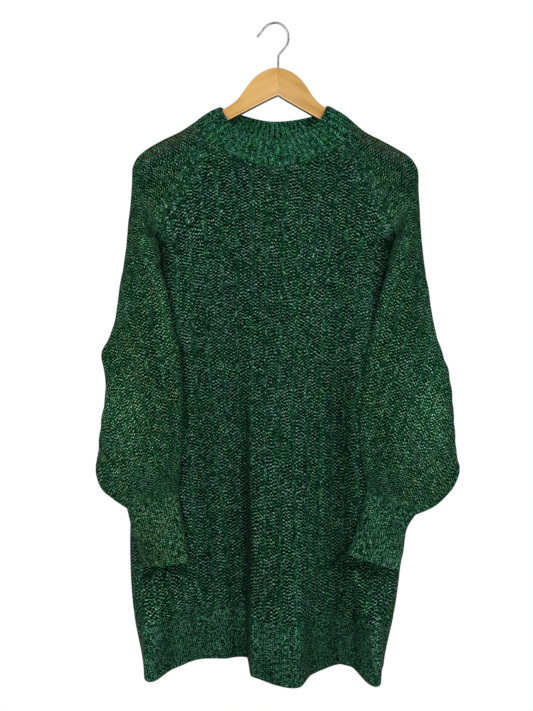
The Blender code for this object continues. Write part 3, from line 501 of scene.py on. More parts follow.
def behind_sleeve(tables, x, z):
    """Depth of the back of a sleeve and its cuff, or far forward beside them."""
    far = np.full(np.broadcast(x, z).shape, -400.0)
    for table, above, below in ((tables[0], 10.0, 20.0), (tables[1], 20.0, 150.0)):
        zs = column(table, "z")
        side = -1.0 if table[0].inner < 0 else 1.0
        level = z
        for _ in range(3):
            cx, cy, a, b, turn = oval_axes(table, level)
            reach = np.abs(at(table, "z", "inner", level) - at(table, "z", "outer", level)) / 2
            inward = np.clip((cx - x) * side / reach, -1.0, 1.0)
            level = z - at(table, "z", "drop", level) * inward
        dx = (x - cx) * side
        ux, uy = -np.cos(turn), -np.sin(turn)
        m11 = (ux / a)**2 + (uy / b)**2
        m22 = (uy / a)**2 + (ux / b)**2
        m12 = ux * uy * (1 / a**2 - 1 / b**2)
        root = (m12 * dx)**2 - m22 * (m11 * dx**2 - 1.0)
        y = cy + (-m12 * dx + np.sqrt(np.maximum(root, 0.0))) / m22
        under = np.maximum(zs[-1] - level - 20.0, 0.0)
        over = np.maximum(level - zs[0] - 4.0, 0.0)
        inside = (level <= zs[0] + above) & (level >= zs[-1] - below)
        y = y - 0.45 * under - 1.5 * over
        far = np.maximum(far, np.where(inside & (root > 0.0), y, -400.0))
    return far


def body_depth(front, x, z):
    side = at(BODY, "z", "side", z)
    plain = at(BODY, "z", "front" if front else "back", z)
    left = at(BODY, "z", "left", z)
    right = at(BODY, "z", "right", z)
    corner = at(BODY, "z", "corner", z)
    y = plain + fold_depth(FRONT_FOLDS if front else BACK_FOLDS, x, z)
    edge = np.clip(np.minimum(x - left, right - x) / corner, 0.0, 1.0)
    y = side + (y - side) * np.sqrt(1.0 - (1.0 - edge)**2)
    if front:
        for tables in ((SLEEVE_LEFT, CUFF_LEFT), (SLEEVE_RIGHT, CUFF_RIGHT)):
            wall = behind_sleeve(tables, x, z) + KNIT_WALL + TOUCH_GAP
            soft = 5.0
            lift = np.where(wall > -300.0, wall, y - 50.0) - y
            y = y + 0.5 * (lift + np.sqrt(lift**2 + soft**2)) - 0.5 * (
                np.sqrt(50.0**2 + soft**2) - 50.0)
    return y


LEVELS = np.arange(-1090.0, -158.0, 3.0)


def panel_table(front, shares):
    """x of each cloth column at each level, at equal lengths of cloth, and the cloth's
    length round each level."""
    theta = np.linspace(0.0, math.pi, 420)
    share_of_width = (1.0 - np.cos(theta)) / 2
    rows, runs = [], []
    for z in LEVELS:
        left, right = at(BODY, "z", "left", z), at(BODY, "z", "right", z)
        x = left + (right - left) * share_of_width
        y = body_depth(front, x, np.full_like(x, z))
        run = np.concatenate([[0.0], np.cumsum(np.hypot(np.diff(x), np.diff(y)))])
        rows.append(np.interp(np.asarray(shares) * run[-1], run, x))
        runs.append((run[-1], x, run))
    return np.array(rows), runs


def neck_level(front, x):
    base = NECK_SIDE_Z if front else NECK_SIDE_BACK_Z
    drop = NECK_FRONT_DROP if front else NECK_BACK_DROP
    left = at(RAGLAN, "z", "left", base)
    right = at(RAGLAN, "z", "right", base)
    reach = np.where(x < NECK_CENTRE_X, NECK_CENTRE_X - left, right - NECK_CENTRE_X)
    share = np.clip(abs(x - NECK_CENTRE_X) / reach, 0.0, 1.0)
    return base - drop * (1.0 - share**NECK_POWER)


def top_level(front, xs):
    neck_side = NECK_SIDE_Z if front else NECK_SIDE_BACK_Z
    fine = np.arange(UNDERARM_Z, neck_side + 0.1, 0.1)
    x = np.interp(fine, LEVELS, xs)
    inside = ((x >= at(RAGLAN, "z", "left", fine)) & (x <= at(RAGLAN, "z", "right", fine))
              & (fine <= neck_level(front, x)))
    return fine[inside].max() if inside.any() else UNDERARM_Z


def corner_shares(front):
    """Shares of the cloth width where the two raglan seams meet the neckline."""
    neck_side = NECK_SIDE_Z if front else NECK_SIDE_BACK_Z
    probe = np.linspace(0.0, 1.0, 801)
    x, _ = panel_table(front, probe)
    row = np.array([np.interp(neck_side, LEVELS, x[:, k]) for k in range(len(probe))])
    return (np.interp(at(RAGLAN, "z", "left", neck_side), row, probe),
            np.interp(at(RAGLAN, "z", "right", neck_side), row, probe))


def seam_curve(front, left, count):
    """A raglan seam from the neckline down to the underarm, at equal shares of cloth."""
    low, high = CORNERS[front]
    shares = np.linspace(low, 0.0, count + 1) if left else np.linspace(high, 1.0, count + 1)
    xs, _ = panel_table(front, shares)
    points = []
    for k in range(count + 1):
        top = top_level(front, xs[:, k]) if 0 < k < count else (
            UNDERARM_Z if k == count else (NECK_SIDE_Z if front else NECK_SIDE_BACK_Z))
        x = float(np.interp(top, LEVELS, xs[:, k]))
        points.append((x, float(body_depth(front, np.array(x), np.array(top))), top))
    return np.array(points)


def limit_forward(y, shift, x, z):
    """Keeps the front panel's small folds clear of the sleeves that lie on it."""
    for tables in ((SLEEVE_LEFT, CUFF_LEFT), (SLEEVE_RIGHT, CUFF_RIGHT)):
        room = y - behind_sleeve(tables, x, z) - KNIT_WALL - 1.2
        room = np.where(room > 300.0, 300.0, room)
        shift = np.where(-shift > room, -np.maximum(room, 0.0), shift)
    return shift


# body panels ------------------------------------------------------------------
def body_pieces(front):
    low, high = CORNERS[front]
    side_cols = int(PANEL_COLS * 0.26)
    shares = np.concatenate([np.linspace(0.0, low, side_cols + 1)[:-1],
                             np.linspace(low, high, PANEL_COLS - 2 * side_cols + 1),
                             np.linspace(high, 1.0, side_cols + 1)[1:]])
    xs, runs = panel_table(front, shares)
    ribs = FRONT_RIBS if front else BACK_RIBS
    centre = at(ribs, "z", "centre", LEVELS)
    spacing = at(ribs, "z", "spacing", LEVELS)
    total = np.array([r[0] for r in runs])
    middle = np.array([np.interp(c, r[1], r[2]) for c, r in zip(centre, runs)])
    phase_table = (shares[None, :] * total[:, None] - middle[:, None]) / spacing[:, None]
    n = len(shares)
    panel = np.zeros((PANEL_ROWS + 1, n, 3))
    band = np.zeros((HEM_ROWS + 1, n, 3))
    panel_knit, band_knit = np.zeros((PANEL_ROWS + 1, n, 2)), np.zeros((HEM_ROWS + 1, n, 2))
    tops, seams = np.zeros(n), np.zeros(n)
    for k in range(n):
        if k in (0, n - 1):
            top = UNDERARM_Z
        elif k in (side_cols, n - 1 - side_cols):
            top = NECK_SIDE_Z if front else NECK_SIDE_BACK_Z
        else:
            top = top_level(front, xs[:, k])
        x_low = np.interp(-1045.0, LEVELS, xs[:, k])
        hem = float(at(HEM, "x", "front" if front else "back", x_low))
        seam = hem + BAND_HEIGHT
        tops[k], seams[k] = top, seam
        for grid, knit, z0, z1, rows in ((panel, panel_knit, seam, top, PANEL_ROWS),
                                         (band, band_knit, hem, seam, HEM_ROWS)):
            zs = z0 + (z1 - z0) * np.linspace(0.0, 1.0, rows + 1)
            grid[:, k, 0] = np.interp(zs, LEVELS, xs[:, k])
            grid[:, k, 2] = zs
            knit[:, k, 0] = np.interp(zs, LEVELS, phase_table[:, k])
            knit[:, k, 1] = zs - seam
    out = []
    for grid, knit, is_band in ((panel, panel_knit, False), (band, band_knit, True)):
        x, z = grid[..., 0], grid[..., 2]
        y = body_depth(front, x, z)
        phase = knit[..., 0]
        away = -1.0 if front else 1.0
        edge = np.minimum(x - at(BODY, "z", "left", z), at(BODY, "z", "right", z) - x)
        calm = ease(edge / 26.0)
        # ribs draw in between the bands of open net
        pucker = at(ribs, "z", "pucker", z) * (0.75 + 0.45 * noise(phase * 0.5 + 3, z / 150, 11 + front))
        shift = away * pucker * (-0.55 * np.cos(2 * math.pi * phase)
                                 - 0.18 * np.cos(4 * math.pi * phase)) * calm
        shift = shift + fold_depth(FINE_FRONT_FOLDS if front else FINE_BACK_FOLDS, x, z) * calm
        grow = ease((-300.0 - z) / 300.0)
        shift = shift + calm * (0.5 + 1.5 * grow) * noise(x / 34.0 + 7, z / 190.0, 21 + front)
        shift = shift + calm * 0.45 * noise(x / 13.0, z / 46.0, 31 + front)
        if is_band:
            # the close band is drawn in a little at its seam and rolls at the hem
            height = z - seams[None, :] + BAND_HEIGHT
            shift = shift - away * 1.1 * np.exp(-((height - BAND_HEIGHT) / 9.0)**2)
            shift = shift + away * 0.9 * np.exp(-(height / 7.0)**2)
        else:
            shift = shift - away * 1.1 * np.exp(-((z - seams[None, :]) / 9.0)**2)
            shift = shift * ease((tops[None, :] - z) / 14.0)
        if front:
            shift = limit_forward(y, shift, x, z)
        grid[..., 1] = y + shift
        out.append((grid, knit))
    return out, seams, tops


# sleeves ---------------------------------------------------------------------
def oval_ring(row, count):
    side = -1.0 if row.inner < 0 else 1.0
    reach = abs(row.inner - row.outer) / 2
    turn = math.radians(row.turn)
    a = math.sqrt(max(reach**2 - (row.half * math.sin(turn))**2, 1.0)) / math.cos(turn)
    phi = math.pi / 2 - np.linspace(0.0, 2 * math.pi, 481)
    along, across = a * np.cos(phi), row.half * np.sin(phi)
    inward = along * math.cos(turn) + across * math.sin(turn)
    y = row.y - along * math.sin(turn) + across * math.cos(turn)
    x = (row.inner + row.outer) / 2 - side * inward
    z = row.z + row.drop * inward / reach
    return resample(np.stack([x, y, z], axis=1), count)


def oval_at(table, z):
    return Oval(z, *(float(at(table, "z", name, z))
                     for name in ("inner", "outer", "y", "half", "turn", "drop")))


def bezier(a, b, c, d, count):
    t = np.linspace(0.0, 1.0, 120)[:, None]
    curve = a * (1 - t)**3 + 3 * b * t * (1 - t)**2 + 3 * c * t**2 * (1 - t) + d * t**3
    return resample(curve, count)


def sleeve_form(table, crest, front_seam, back_seam):
    cols = SLEEVE_COLS
    path = resample(smooth_path([(c.x, c.y, c.z) for c in crest]), 800)
    steps = np.interp(np.linspace(0.0, 7.0, RAGLAN_ROWS + 1), np.arange(8), CREST_SHARES)
    steps = blur(np.stack([steps, steps], 1), 6)[:, 0]
    steps[0], steps[-1] = 0.0, 1.0
    side = -1.0 if table[0].inner < 0 else 1.0
    rows = []
    for k in range(RAGLAN_ROWS + 1):
        share = k / RAGLAN_ROWS
        at_path = steps[k] * 800
        i = min(int(at_path), 799)
        r = path[i] + (path[i + 1] - path[i]) * (at_path - i)
        f, b = front_seam[k].copy(), back_seam[k].copy()
        swell = ease((share - 0.35) / 0.65)
        aside = UNDERARM_SET * ease((share - 0.6) / 0.4)
        f[0] += side * aside
        b[0] += side * aside
        f1 = f + 0.40 * (r - f)
        f1[1] = f[1] * (1 - swell) - 62.0 * swell
        f1[0] -= side * 12.0 * swell
        b1 = b + 0.40 * (r - b)
        b1[1] = b[1] * (1 - swell) + 44.0 * swell
        f2, b2 = r.copy(), r.copy()
        f2[1] -= 12.0 + 28.0 * swell
        b2[1] += 12.0 + 28.0 * swell
        fore, aft = bezier(f, f1, f2, r, 200), bezier(r, b2, b1, b, 200)
        halves = np.concatenate([resample(fore, cols // 2), resample(aft, cols // 2)[1:]])
        whole = resample(np.concatenate([fore, aft[1:]]), cols)
        rows.append(halves + (whole - halves) * ease((share - 0.3) / 0.7))
    first, last = table[0].z, table[-1].z
    levels = np.linspace(first, last, int(round((first - last) / OVAL_STEP)) + 1)
    ovals = [oval_ring(oval_at(table, z), cols) for z in levels]
    gap = 5
    bridge = [rows[-1] + (ovals[0] - rows[-1]) * (j / gap) for j in range(1, gap)]
    grid = np.array(rows + bridge + ovals)
    pinned = grid[: RAGLAN_ROWS + 1, [0, -1]].copy()
    # ease the turn below the underarm
    start, stop = RAGLAN_ROWS - 14, RAGLAN_ROWS + gap + 14
    weight = np.zeros(len(grid))
    span = np.arange(start, stop)
    weight[span] = ease(np.minimum(span - start, stop - 1 - span) / 8.0)
    for _ in range(60):
        mean = grid.copy()
        mean[1:-1] = 0.5 * (grid[:-2] + grid[2:])
        grid = grid + weight[:, None, None] * 0.7 * (mean - grid)
        reach = np.minimum(np.arange(grid.shape[1]), np.arange(grid.shape[1])[::-1])
        hold = np.exp(-(reach / 4.0)**2)
        for col, keep in ((0, pinned[:, 0]), (-1, pinned[:, 1])):
            pull = keep - grid[: RAGLAN_ROWS + 1, col]
            near = hold * ((np.arange(grid.shape[1]) < 20) if col == 0 else
                           (np.arange(grid.shape[1]) >= grid.shape[1] - 20))
            grid[: RAGLAN_ROWS + 1] += pull[:, None, :] * near[None, :, None]
    return grid, RAGLAN_ROWS


def sleeve_piece(table, crest, creases, left, seed):
    front_seam = seam_curve(True, left, RAGLAN_ROWS)
    back_seam = seam_curve(False, left, RAGLAN_ROWS)
    grid, raglan = sleeve_form(table, crest, front_seam, back_seam)
    rows, cols = grid.shape[:2]
    around = np.linspace(0.0, 1.0, cols)[None, :]
    # stitches: wales across from the rib that starts on the crest of the shoulder and
    # slants toward the body below the underarm, courses up each column from the cuff
    slants = SLANT_LEFT if left else SLANT_RIGHT
    sign = -1.0 if left else 1.0
    level = grid[..., 2].mean(axis=1)
    lean = np.where(level < -340.0, at(slants, "z", "lean", level), 0.0)
    gather = np.where(level < -340.0, at(slants, "z", "gather", level), 1.0)
    run = np.concatenate([np.zeros((rows, 1)), np.cumsum(
        np.linalg.norm(np.diff(grid, axis=1), axis=2), axis=1)], axis=1)
    middle = run[:, cols // 2].copy()
    reach = float((grid[raglan, :, 0] * sign)[cols // 2])
    for k in range(raglan, rows):
        reach -= lean[k] * max(level[k - 1] - level[k], 0.0)
        side_x = grid[k, :, 0] * sign
        inner = int(np.argmin(side_x[: int(cols * 0.6)]))
        outer = inner + int(np.argmax(side_x[inner:]))
        share = (reach - side_x[inner]) / (side_x[outer] - side_x[inner])
        middle[k] = run[k, inner] + share * (run[k, outer] - run[k, inner])
    middle = blur(np.stack([middle, middle], 1), 12)[:, 0]
    across = run - middle[:, None]
    phase = across * gather[:, None] / SLEEVE_RIB
    step = np.linalg.norm(np.diff(grid, axis=0), axis=2)
    crest_step = step[:, int(cols * 0.38):int(cols * 0.62)].mean(axis=1)
    up = np.concatenate([[0.0], np.cumsum(crest_step[::-1])])[::-1]
    up = up[:, None] + lean[:, None] * np.clip(across, -90.0, 110.0)
    knit = np.stack(np.broadcast_arrays(phase, up), axis=2)
    n = normals(grid)
    centre = grid.mean(axis=1, keepdims=True)
    outward = np.sign(((grid - centre) * n).sum(axis=2).mean())
    n = n * outward
    z = grid[..., 2]
    calm = ease((np.arange(rows) - 2)[:, None] / 10.0) * ease(
        np.minimum(around, 1 - around) / 0.03)
    shift = np.zeros((rows, cols))
    for c in creases:
        run = np.clip((c.z_top - z) / (c.z_top - c.z_low), 0.0, 1.0)
        inside = (z < c.z_top) & (z > c.z_low)
        place = c.around_top + (c.around_low - c.around_top) * run
        shift = shift + np.where(inside, c.depth * np.sin(math.pi * run)**0.7
                                 * np.exp(-((around - place) / c.width)**2), 0.0)
    grow = ease((-330.0 - z) / 120.0)
    pucker = 0.4 + 0.75 * grow
    shift = shift + pucker * (0.75 + 0.45 * noise(phase * 0.5 + 9, z / 130, seed)) * (
        -0.6 * np.cos(2 * math.pi * phase))
    shift = shift + (0.4 + 1.2 * grow) * noise(around * 11, z / 90.0, seed + 1)
    shift = shift + 0.5 * noise(around * 30, z / 30.0, seed + 2)
    # gathered into the cuff
    near = np.exp(-((z - table[-1].z) / 26.0)**2)
    shift = shift + near * (1.3 * np.cos(2 * math.pi * (13 * around + 0.3 * noise(around * 9, 0.0, seed + 3)))
                            - 0.4)
    shift = shift * ease((rows - 1 - np.arange(rows))[:, None] / 5.0)
    # the side that lies on the body stays flat
    lying = ease((n[..., 1] - 0.05) / 0.4) * ease((-385.0 - z) / 30.0)
    shift = np.where(lying > 0, shift * (1 - lying) + np.minimum(shift, 0.0) * 0.4 * lying, shift)
    grid = grid + n * (shift * calm)[..., None]
    # at the underarm the sleeve's inner fold lies against the body
    side = -1.0 if table[0].inner < 0 else 1.0
    inner = (grid[..., 0] * side).min(axis=1)[:, None]
    press = (ease((-350.0 - z) / 10.0) * ease((z + 404.0) / 24.0)
             * ease((-3.0 - grid[..., 1]) / 12.0)
             * np.exp(-((grid[..., 0] * side - inner) / 22.0)**2))
    grid[..., 0] -= side * UNDERARM_PRESS[side < 0] * press
    return grid, knit, n, around, raglan


def cuff_piece(table, seed):
    levels = np.linspace(table[0].z, table[-1].z, CUFF_ROWS + 1)
    grid = np.array([oval_ring(oval_at(table, z), CUFF_COLS)[:-1] for z in levels])
    n = normals(grid, closed=True)
    centre = grid.mean(axis=1, keepdims=True)
    n = n * np.sign(((grid - centre) * n).sum(axis=2).mean())
    around = np.arange(CUFF_COLS)[None, :] / CUFF_COLS
    h = np.linspace(0.0, 1.0, CUFF_ROWS + 1)[:, None]
    shift = 0.7 * noise(around * 16, h * 3, seed) + 0.35 * noise(around * 32, h * 7, seed + 1)
    shift = shift + 0.5 * np.cos(2 * math.pi * 44 * around) * 0.35
    shift = shift + 0.9 * np.exp(-(h / 0.06)**2) * np.cos(2 * math.pi * 13 * around) * 0.6
    shift = shift - 0.8 * np.exp(-((1 - h) / 0.05)**2)
    lying = ease((n[..., 1] - 0.05) / 0.4)
    shift = shift * (1 - lying) + np.minimum(shift, 0.0) * 0.4 * lying
    grid = grid + n * shift[..., None]
    full = np.linspace(0.0, 1.0, CUFF_COLS + 1)[None, :]
    height = np.linalg.norm(np.diff(grid.mean(axis=1), axis=0), axis=1).sum()
    around_mm = np.linalg.norm(np.diff(grid[CUFF_ROWS // 2], axis=0), axis=1).sum()
    knit = np.stack(np.broadcast_arrays(full * around_mm / SLEEVE_RIB, -h * height), axis=2)
    return grid, knit


# collar ----------------------------------------------------------------------
def collar_piece(front_edge, left_edge, back_edge, right_edge):
    """Columns from the front's right corner round by the left shoulder."""
    rim = smooth_path([(r.x, r.y, r.z) for r in COLLAR_RIM], 24, closed=True)
    spot = {}
    for i, r in enumerate(COLLAR_RIM):
        if r.place:
            spot.setdefault(r.place, []).append(i * 24)
    n = len(rim)
    fl, fr = spot["side_front"]
    bl, br = spot["side_back"]

    def arc(i, j, count):
        j = j if j > i else j + n
        return resample(rim[np.arange(i, j + 1) % n], count)[:-1]
    counts = COLLAR_ARCS
    low = np.concatenate([resample(e, c)[:-1] for e, c in zip(
        (front_edge, left_edge, back_edge, right_edge), counts)])
    high = np.concatenate([arc(fr, fl, counts[0]), arc(fl, bl, counts[1]),
                           arc(bl, br, counts[2]), arc(br, fr, counts[3])])
    high[:, 2] += 1.8 * ease((high[:, 1] + 5.0) / 15.0)
    for edge in (low, high):
        for _ in range(3):
            edge[:] = 0.5 * edge + 0.25 * (np.roll(edge, 1, 0) + np.roll(edge, -1, 0))
    rows = []
    centre = np.array([NECK_CENTRE_X, 0.0, 0.0])
    heights = np.linspace(0.0, 1.0, COLLAR_ROWS + 1)
    for h in heights:
        p = low + (high - low) * h
        out = (p - centre) * np.array([1.0, 1.0, 0.0])
        out /= np.linalg.norm(out, axis=1)[:, None]
        rows.append(p + out * 2.0 * math.sin(math.pi * h))
    grid = np.array(rows)
    nrm = normals(grid, closed=True)
    middle = np.array([NECK_CENTRE_X, 0.0, -180.0])
    nrm = nrm * np.sign(((grid - middle) * nrm).sum(axis=2).mean())
    total = sum(counts)
    s = np.arange(total)[None, :] / total
    h = heights[:, None]
    wander = 0.12 * noise(s * 26, h * 1.2, 71)
    wave = np.cos(2 * math.pi * (COLLAR_RIBS * s + wander))
    strength = ease(h / 0.10) * ease((1.02 - h) / 0.10) * (0.85 + 0.25 * noise(s * 40, h * 2, 72))
    shift = COLLAR_RIB_HEIGHT * wave * strength
    shift = shift + 0.5 * noise(s * 60, h * 6, 73)
    shift = shift - 0.8 * np.exp(-((1 - h) / 0.05)**2)
    grid = grid + nrm * shift[..., None]
    full = np.linspace(0.0, 1.0, total + 1)[None, :]
    knit = np.stack(np.broadcast_arrays(full * COLLAR_RIBS, h * 48.0), axis=2)
    return grid, knit, wave * strength


# ------------------------------------------------------------------- meshes
def cloth_object(name, grid, wall, knit, zone, closed, mat, bevel):
    """A sheet over a grid of points, thickened both ways, its edges rounded.

    knit holds stitch coordinates and zone the four things that vary over the cloth:
    how closed the knit is, wood seen behind it, how yellow its thread, its tone with painted light and painted
    shade in it."""
    rows, cols = grid.shape[:2]
    last = cols if closed else cols - 1
    i, j = np.arange(rows - 1)[:, None], np.arange(last)[None, :]
    k = (j + 1) % cols
    quads = np.stack([i * cols + j, i * cols + k, (i + 1) * cols + k, (i + 1) * cols + j],
                     axis=-1).reshape(-1, 4)
    mesh = bpy.data.meshes.new(name)
    mesh.from_pydata((grid.reshape(-1, 3) * MM).tolist(), [], quads.tolist())
    wide = cols + 1 if closed else cols
    spread = np.linspace(0.01, 0.99, wide)[None, :], np.linspace(0.01, 0.99, rows)[:, None]
    flat = np.stack(np.broadcast_arrays(*spread), axis=2)
    for label, field in (("knit", knit), ("OFBake", flat)):
        layer = mesh.uv_layers.new(name=label)
        i2, j2 = np.broadcast_arrays(i, j)
        corners = np.stack([field[i2, j2], field[i2, j2 + 1],
                            field[i2 + 1, j2 + 1], field[i2 + 1, j2]], axis=2)
        layer.data.foreach_set("uv", corners.reshape(-1).astype(np.float32))
    tint = mesh.color_attributes.new(name="zone", type="FLOAT_COLOR", domain="POINT")
    tint.data.foreach_set("color", zone.reshape(-1).astype(np.float32))
    mesh.update()
    mesh.shade_smooth()
    mesh.materials.append(mat)
    obj = bpy.data.objects.new(name, mesh)
    bpy.context.scene.collection.objects.link(obj)
    shell = obj.modifiers.new("wall", "SOLIDIFY")
    shell.thickness = wall * MM
    shell.offset = 0.0
    shell.use_rim = True
    shell.use_even_offset = False
    # only the cloth's own edges are rounded
    sides = np.zeros(len(mesh.loops), dtype=int)
    mesh.loops.foreach_get("edge_index", sides)
    lone = np.bincount(sides, minlength=len(mesh.edges)) == 1
    weight = mesh.attributes.new("bevel_weight_edge", "FLOAT", "EDGE")
    weight.data.foreach_set("value", lone.astype(np.float32))
    soft = obj.modifiers.new("rolled_edge", "BEVEL")
    soft.width = bevel * MM
    soft.segments = 2
    soft.limit_method = "WEIGHT"
    soft.use_clamp_overlap = False
    soft.harden_normals = False
    return obj


# multiplies in the painted light and painted shade of a list of patches
def painted_shading(patches, x, z):
    gain = np.ones(np.broadcast(x, z).shape)
    for p in patches:
        gain = gain * (1.0 + (p.gain - 1.0) * np.exp(-((x - p.x) / p.wide)**2
                                                     - ((z - p.z) / p.high)**2))
    return gain


def zone_of(grid, knit, closedness, yellow, tone_and_shade, closed=False):
    """The four varying fields at each point of a grid."""
    x, y, z = grid[..., 0], grid[..., 1], grid[..., 2]
    arm = np.where(x < JOINT_X, 1, 0)
    top = np.where(arm == 1, at(ARM_LEFT, "x", "top", x), at(ARM_RIGHT, "x", "top", x))
    low = np.where(arm == 1, at(ARM_LEFT, "x", "bottom", x), at(ARM_RIGHT, "x", "bottom", x))
    near = ease((top + 7.0 - z) / 5.0) * ease((z - low + 5.0) / 5.0)
    near = 0.6 * near * ease((x + 219) / 6.0) * ease((211 - x) / 6.0) * ease((30.0 - abs(y)) / 8.0)
    # how far the point lies in from the smoothed surface darkens its colour: painted shade in creases and
    # hollows
    outward = normals(grid, closed)
    outward = outward * np.sign((outward * (grid - grid.mean(axis=(0, 1)))).sum(axis=2).mean())
    smooth = blur(grid, 30, closed)
    depth = ((smooth - grid) * outward).sum(axis=2)
    crease_shade = 1.0 - 0.11 * np.clip(depth, -1.5, 3.0)
    fields = (closedness, near, yellow, tone_and_shade * crease_shade)
    return np.stack(np.broadcast_arrays(*fields), axis=-1)


# ---------------------------------------------------------------- materials
class Nodes:
    """Short calls for building a node tree."""

    def __init__(self, name):
        self.mat = bpy.data.materials.new(name)
        self.mat.use_nodes = True
        self.tree = self.mat.node_tree
        self.shader = self.tree.nodes["Principled BSDF"]

    def put(self, socket, value):
        if isinstance(value, bpy.types.NodeSocket):
            self.tree.links.new(value, socket)
        elif value is not None:
            socket.default_value = value

    def math(self, op, a, b=None, c=None, clamp=False):
        node = self.tree.nodes.new("ShaderNodeMath")
        node.operation = op
        node.use_clamp = clamp
        for socket, value in zip(node.inputs, (a, b, c)):
            self.put(socket, value)
        return node.outputs[0]

    def smooth(self, value, low, high):
        node = self.tree.nodes.new("ShaderNodeMapRange")
        node.interpolation_type = "SMOOTHSTEP"
        self.put(node.inputs["Value"], value)
        self.put(node.inputs["From Min"], low)
        self.put(node.inputs["From Max"], high)
        return node.outputs["Result"]

    def linear(self, value, low, high, out_low, out_high):
        node = self.tree.nodes.new("ShaderNodeMapRange")
        self.put(node.inputs["Value"], value)
        for label, number in (("From Min", low), ("From Max", high),
                              ("To Min", out_low), ("To Max", out_high)):
            self.put(node.inputs[label], number)
        return node.outputs["Result"]

    def mix(self, factor, a, b, blend="MIX"):
        node = self.tree.nodes.new("ShaderNodeMix")
        node.data_type = "RGBA"
        node.blend_type = blend
        sockets = [s for s in node.inputs if s.enabled]
        self.put(sockets[0], factor)
        self.put(sockets[1], a)
        self.put(sockets[2], b)
        return next(s for s in node.outputs if s.enabled)

    def vector(self, x, y, z=0.0):
        node = self.tree.nodes.new("ShaderNodeCombineXYZ")
        for socket, value in zip(node.inputs, (x, y, z)):
            self.put(socket, value)
        return node.outputs[0]

    def split(self, vector):
        node = self.tree.nodes.new("ShaderNodeSeparateXYZ")
        self.put(node.inputs[0], vector)
        return node.outputs

    def uv(self, label):
        node = self.tree.nodes.new("ShaderNodeUVMap")
        node.uv_map = label
        return node.outputs[0]

    def attribute(self, label):
        node = self.tree.nodes.new("ShaderNodeAttribute")
        node.attribute_type = "GEOMETRY"
        node.attribute_name = label
        rgb = self.tree.nodes.new("ShaderNodeSeparateColor")
        self.tree.links.new(node.outputs["Color"], rgb.inputs[0])
        return rgb.outputs[0], rgb.outputs[1], rgb.outputs[2], node.outputs["Alpha"]

    def noise(self, vector, scale, detail=2.0, rough=0.5, dimensions="3D", lacunarity=2.0):
        node = self.tree.nodes.new("ShaderNodeTexNoise")
        node.noise_dimensions = dimensions
        self.put(node.inputs["Vector"], vector)
        node.inputs["Scale"].default_value = scale
        node.inputs["Detail"].default_value = detail
        node.inputs["Roughness"].default_value = rough
        node.inputs["Lacunarity"].default_value = lacunarity
        return node.outputs

    def cells(self, vector, scale, jitter=1.0):
        node = self.tree.nodes.new("ShaderNodeTexVoronoi")
        node.voronoi_dimensions = "2D"
        node.feature = "F1"
        self.put(node.inputs["Vector"], vector)
        node.inputs["Scale"].default_value = scale
        node.inputs["Randomness"].default_value = jitter
        return node.outputs

    def random(self, vector):
        node = self.tree.nodes.new("ShaderNodeTexWhiteNoise")
        node.noise_dimensions = "2D"
        self.put(node.inputs["Vector"], vector)
        return node.outputs

    def ramp(self, factor, stops, constant=False):
        node = self.tree.nodes.new("ShaderNodeValToRGB")
        if constant:
            node.color_ramp.interpolation = "CONSTANT"
        elements = node.color_ramp.elements
        while len(elements) < len(stops):
            elements.new(0.5)
        for element, (place, colour) in zip(elements, stops):
            element.position = place
            element.color = (*colour, 1.0)
        self.put(node.inputs[0], factor)
        return node.outputs[0]

    def bump(self, height, strength, distance, normal=None):
        node = self.tree.nodes.new("ShaderNodeBump")
        node.inputs["Strength"].default_value = strength
        node.inputs["Distance"].default_value = distance
        self.put(node.inputs["Height"], height)
        self.put(node.inputs["Normal"], normal)
        return node.outputs[0]


GAIN = 0.390           # brightness of every thread colour

# thread colour by how much light one stitch sends back
THREAD = [
    (0.00, (0.0003, 0.0050, 0.0018)),
    (0.24, (0.0010, 0.0150, 0.0065)),
    (0.46, (0.0042, 0.0370, 0.0195)),
    (0.66, (0.0230, 0.0900, 0.0560)),
    (0.82, (0.0900, 0.1900, 0.1380)),
    (1.00, (0.3200, 0.5200, 0.4050)),
]


def scaled(colour, factor):
    return tuple(c * factor for c in colour)


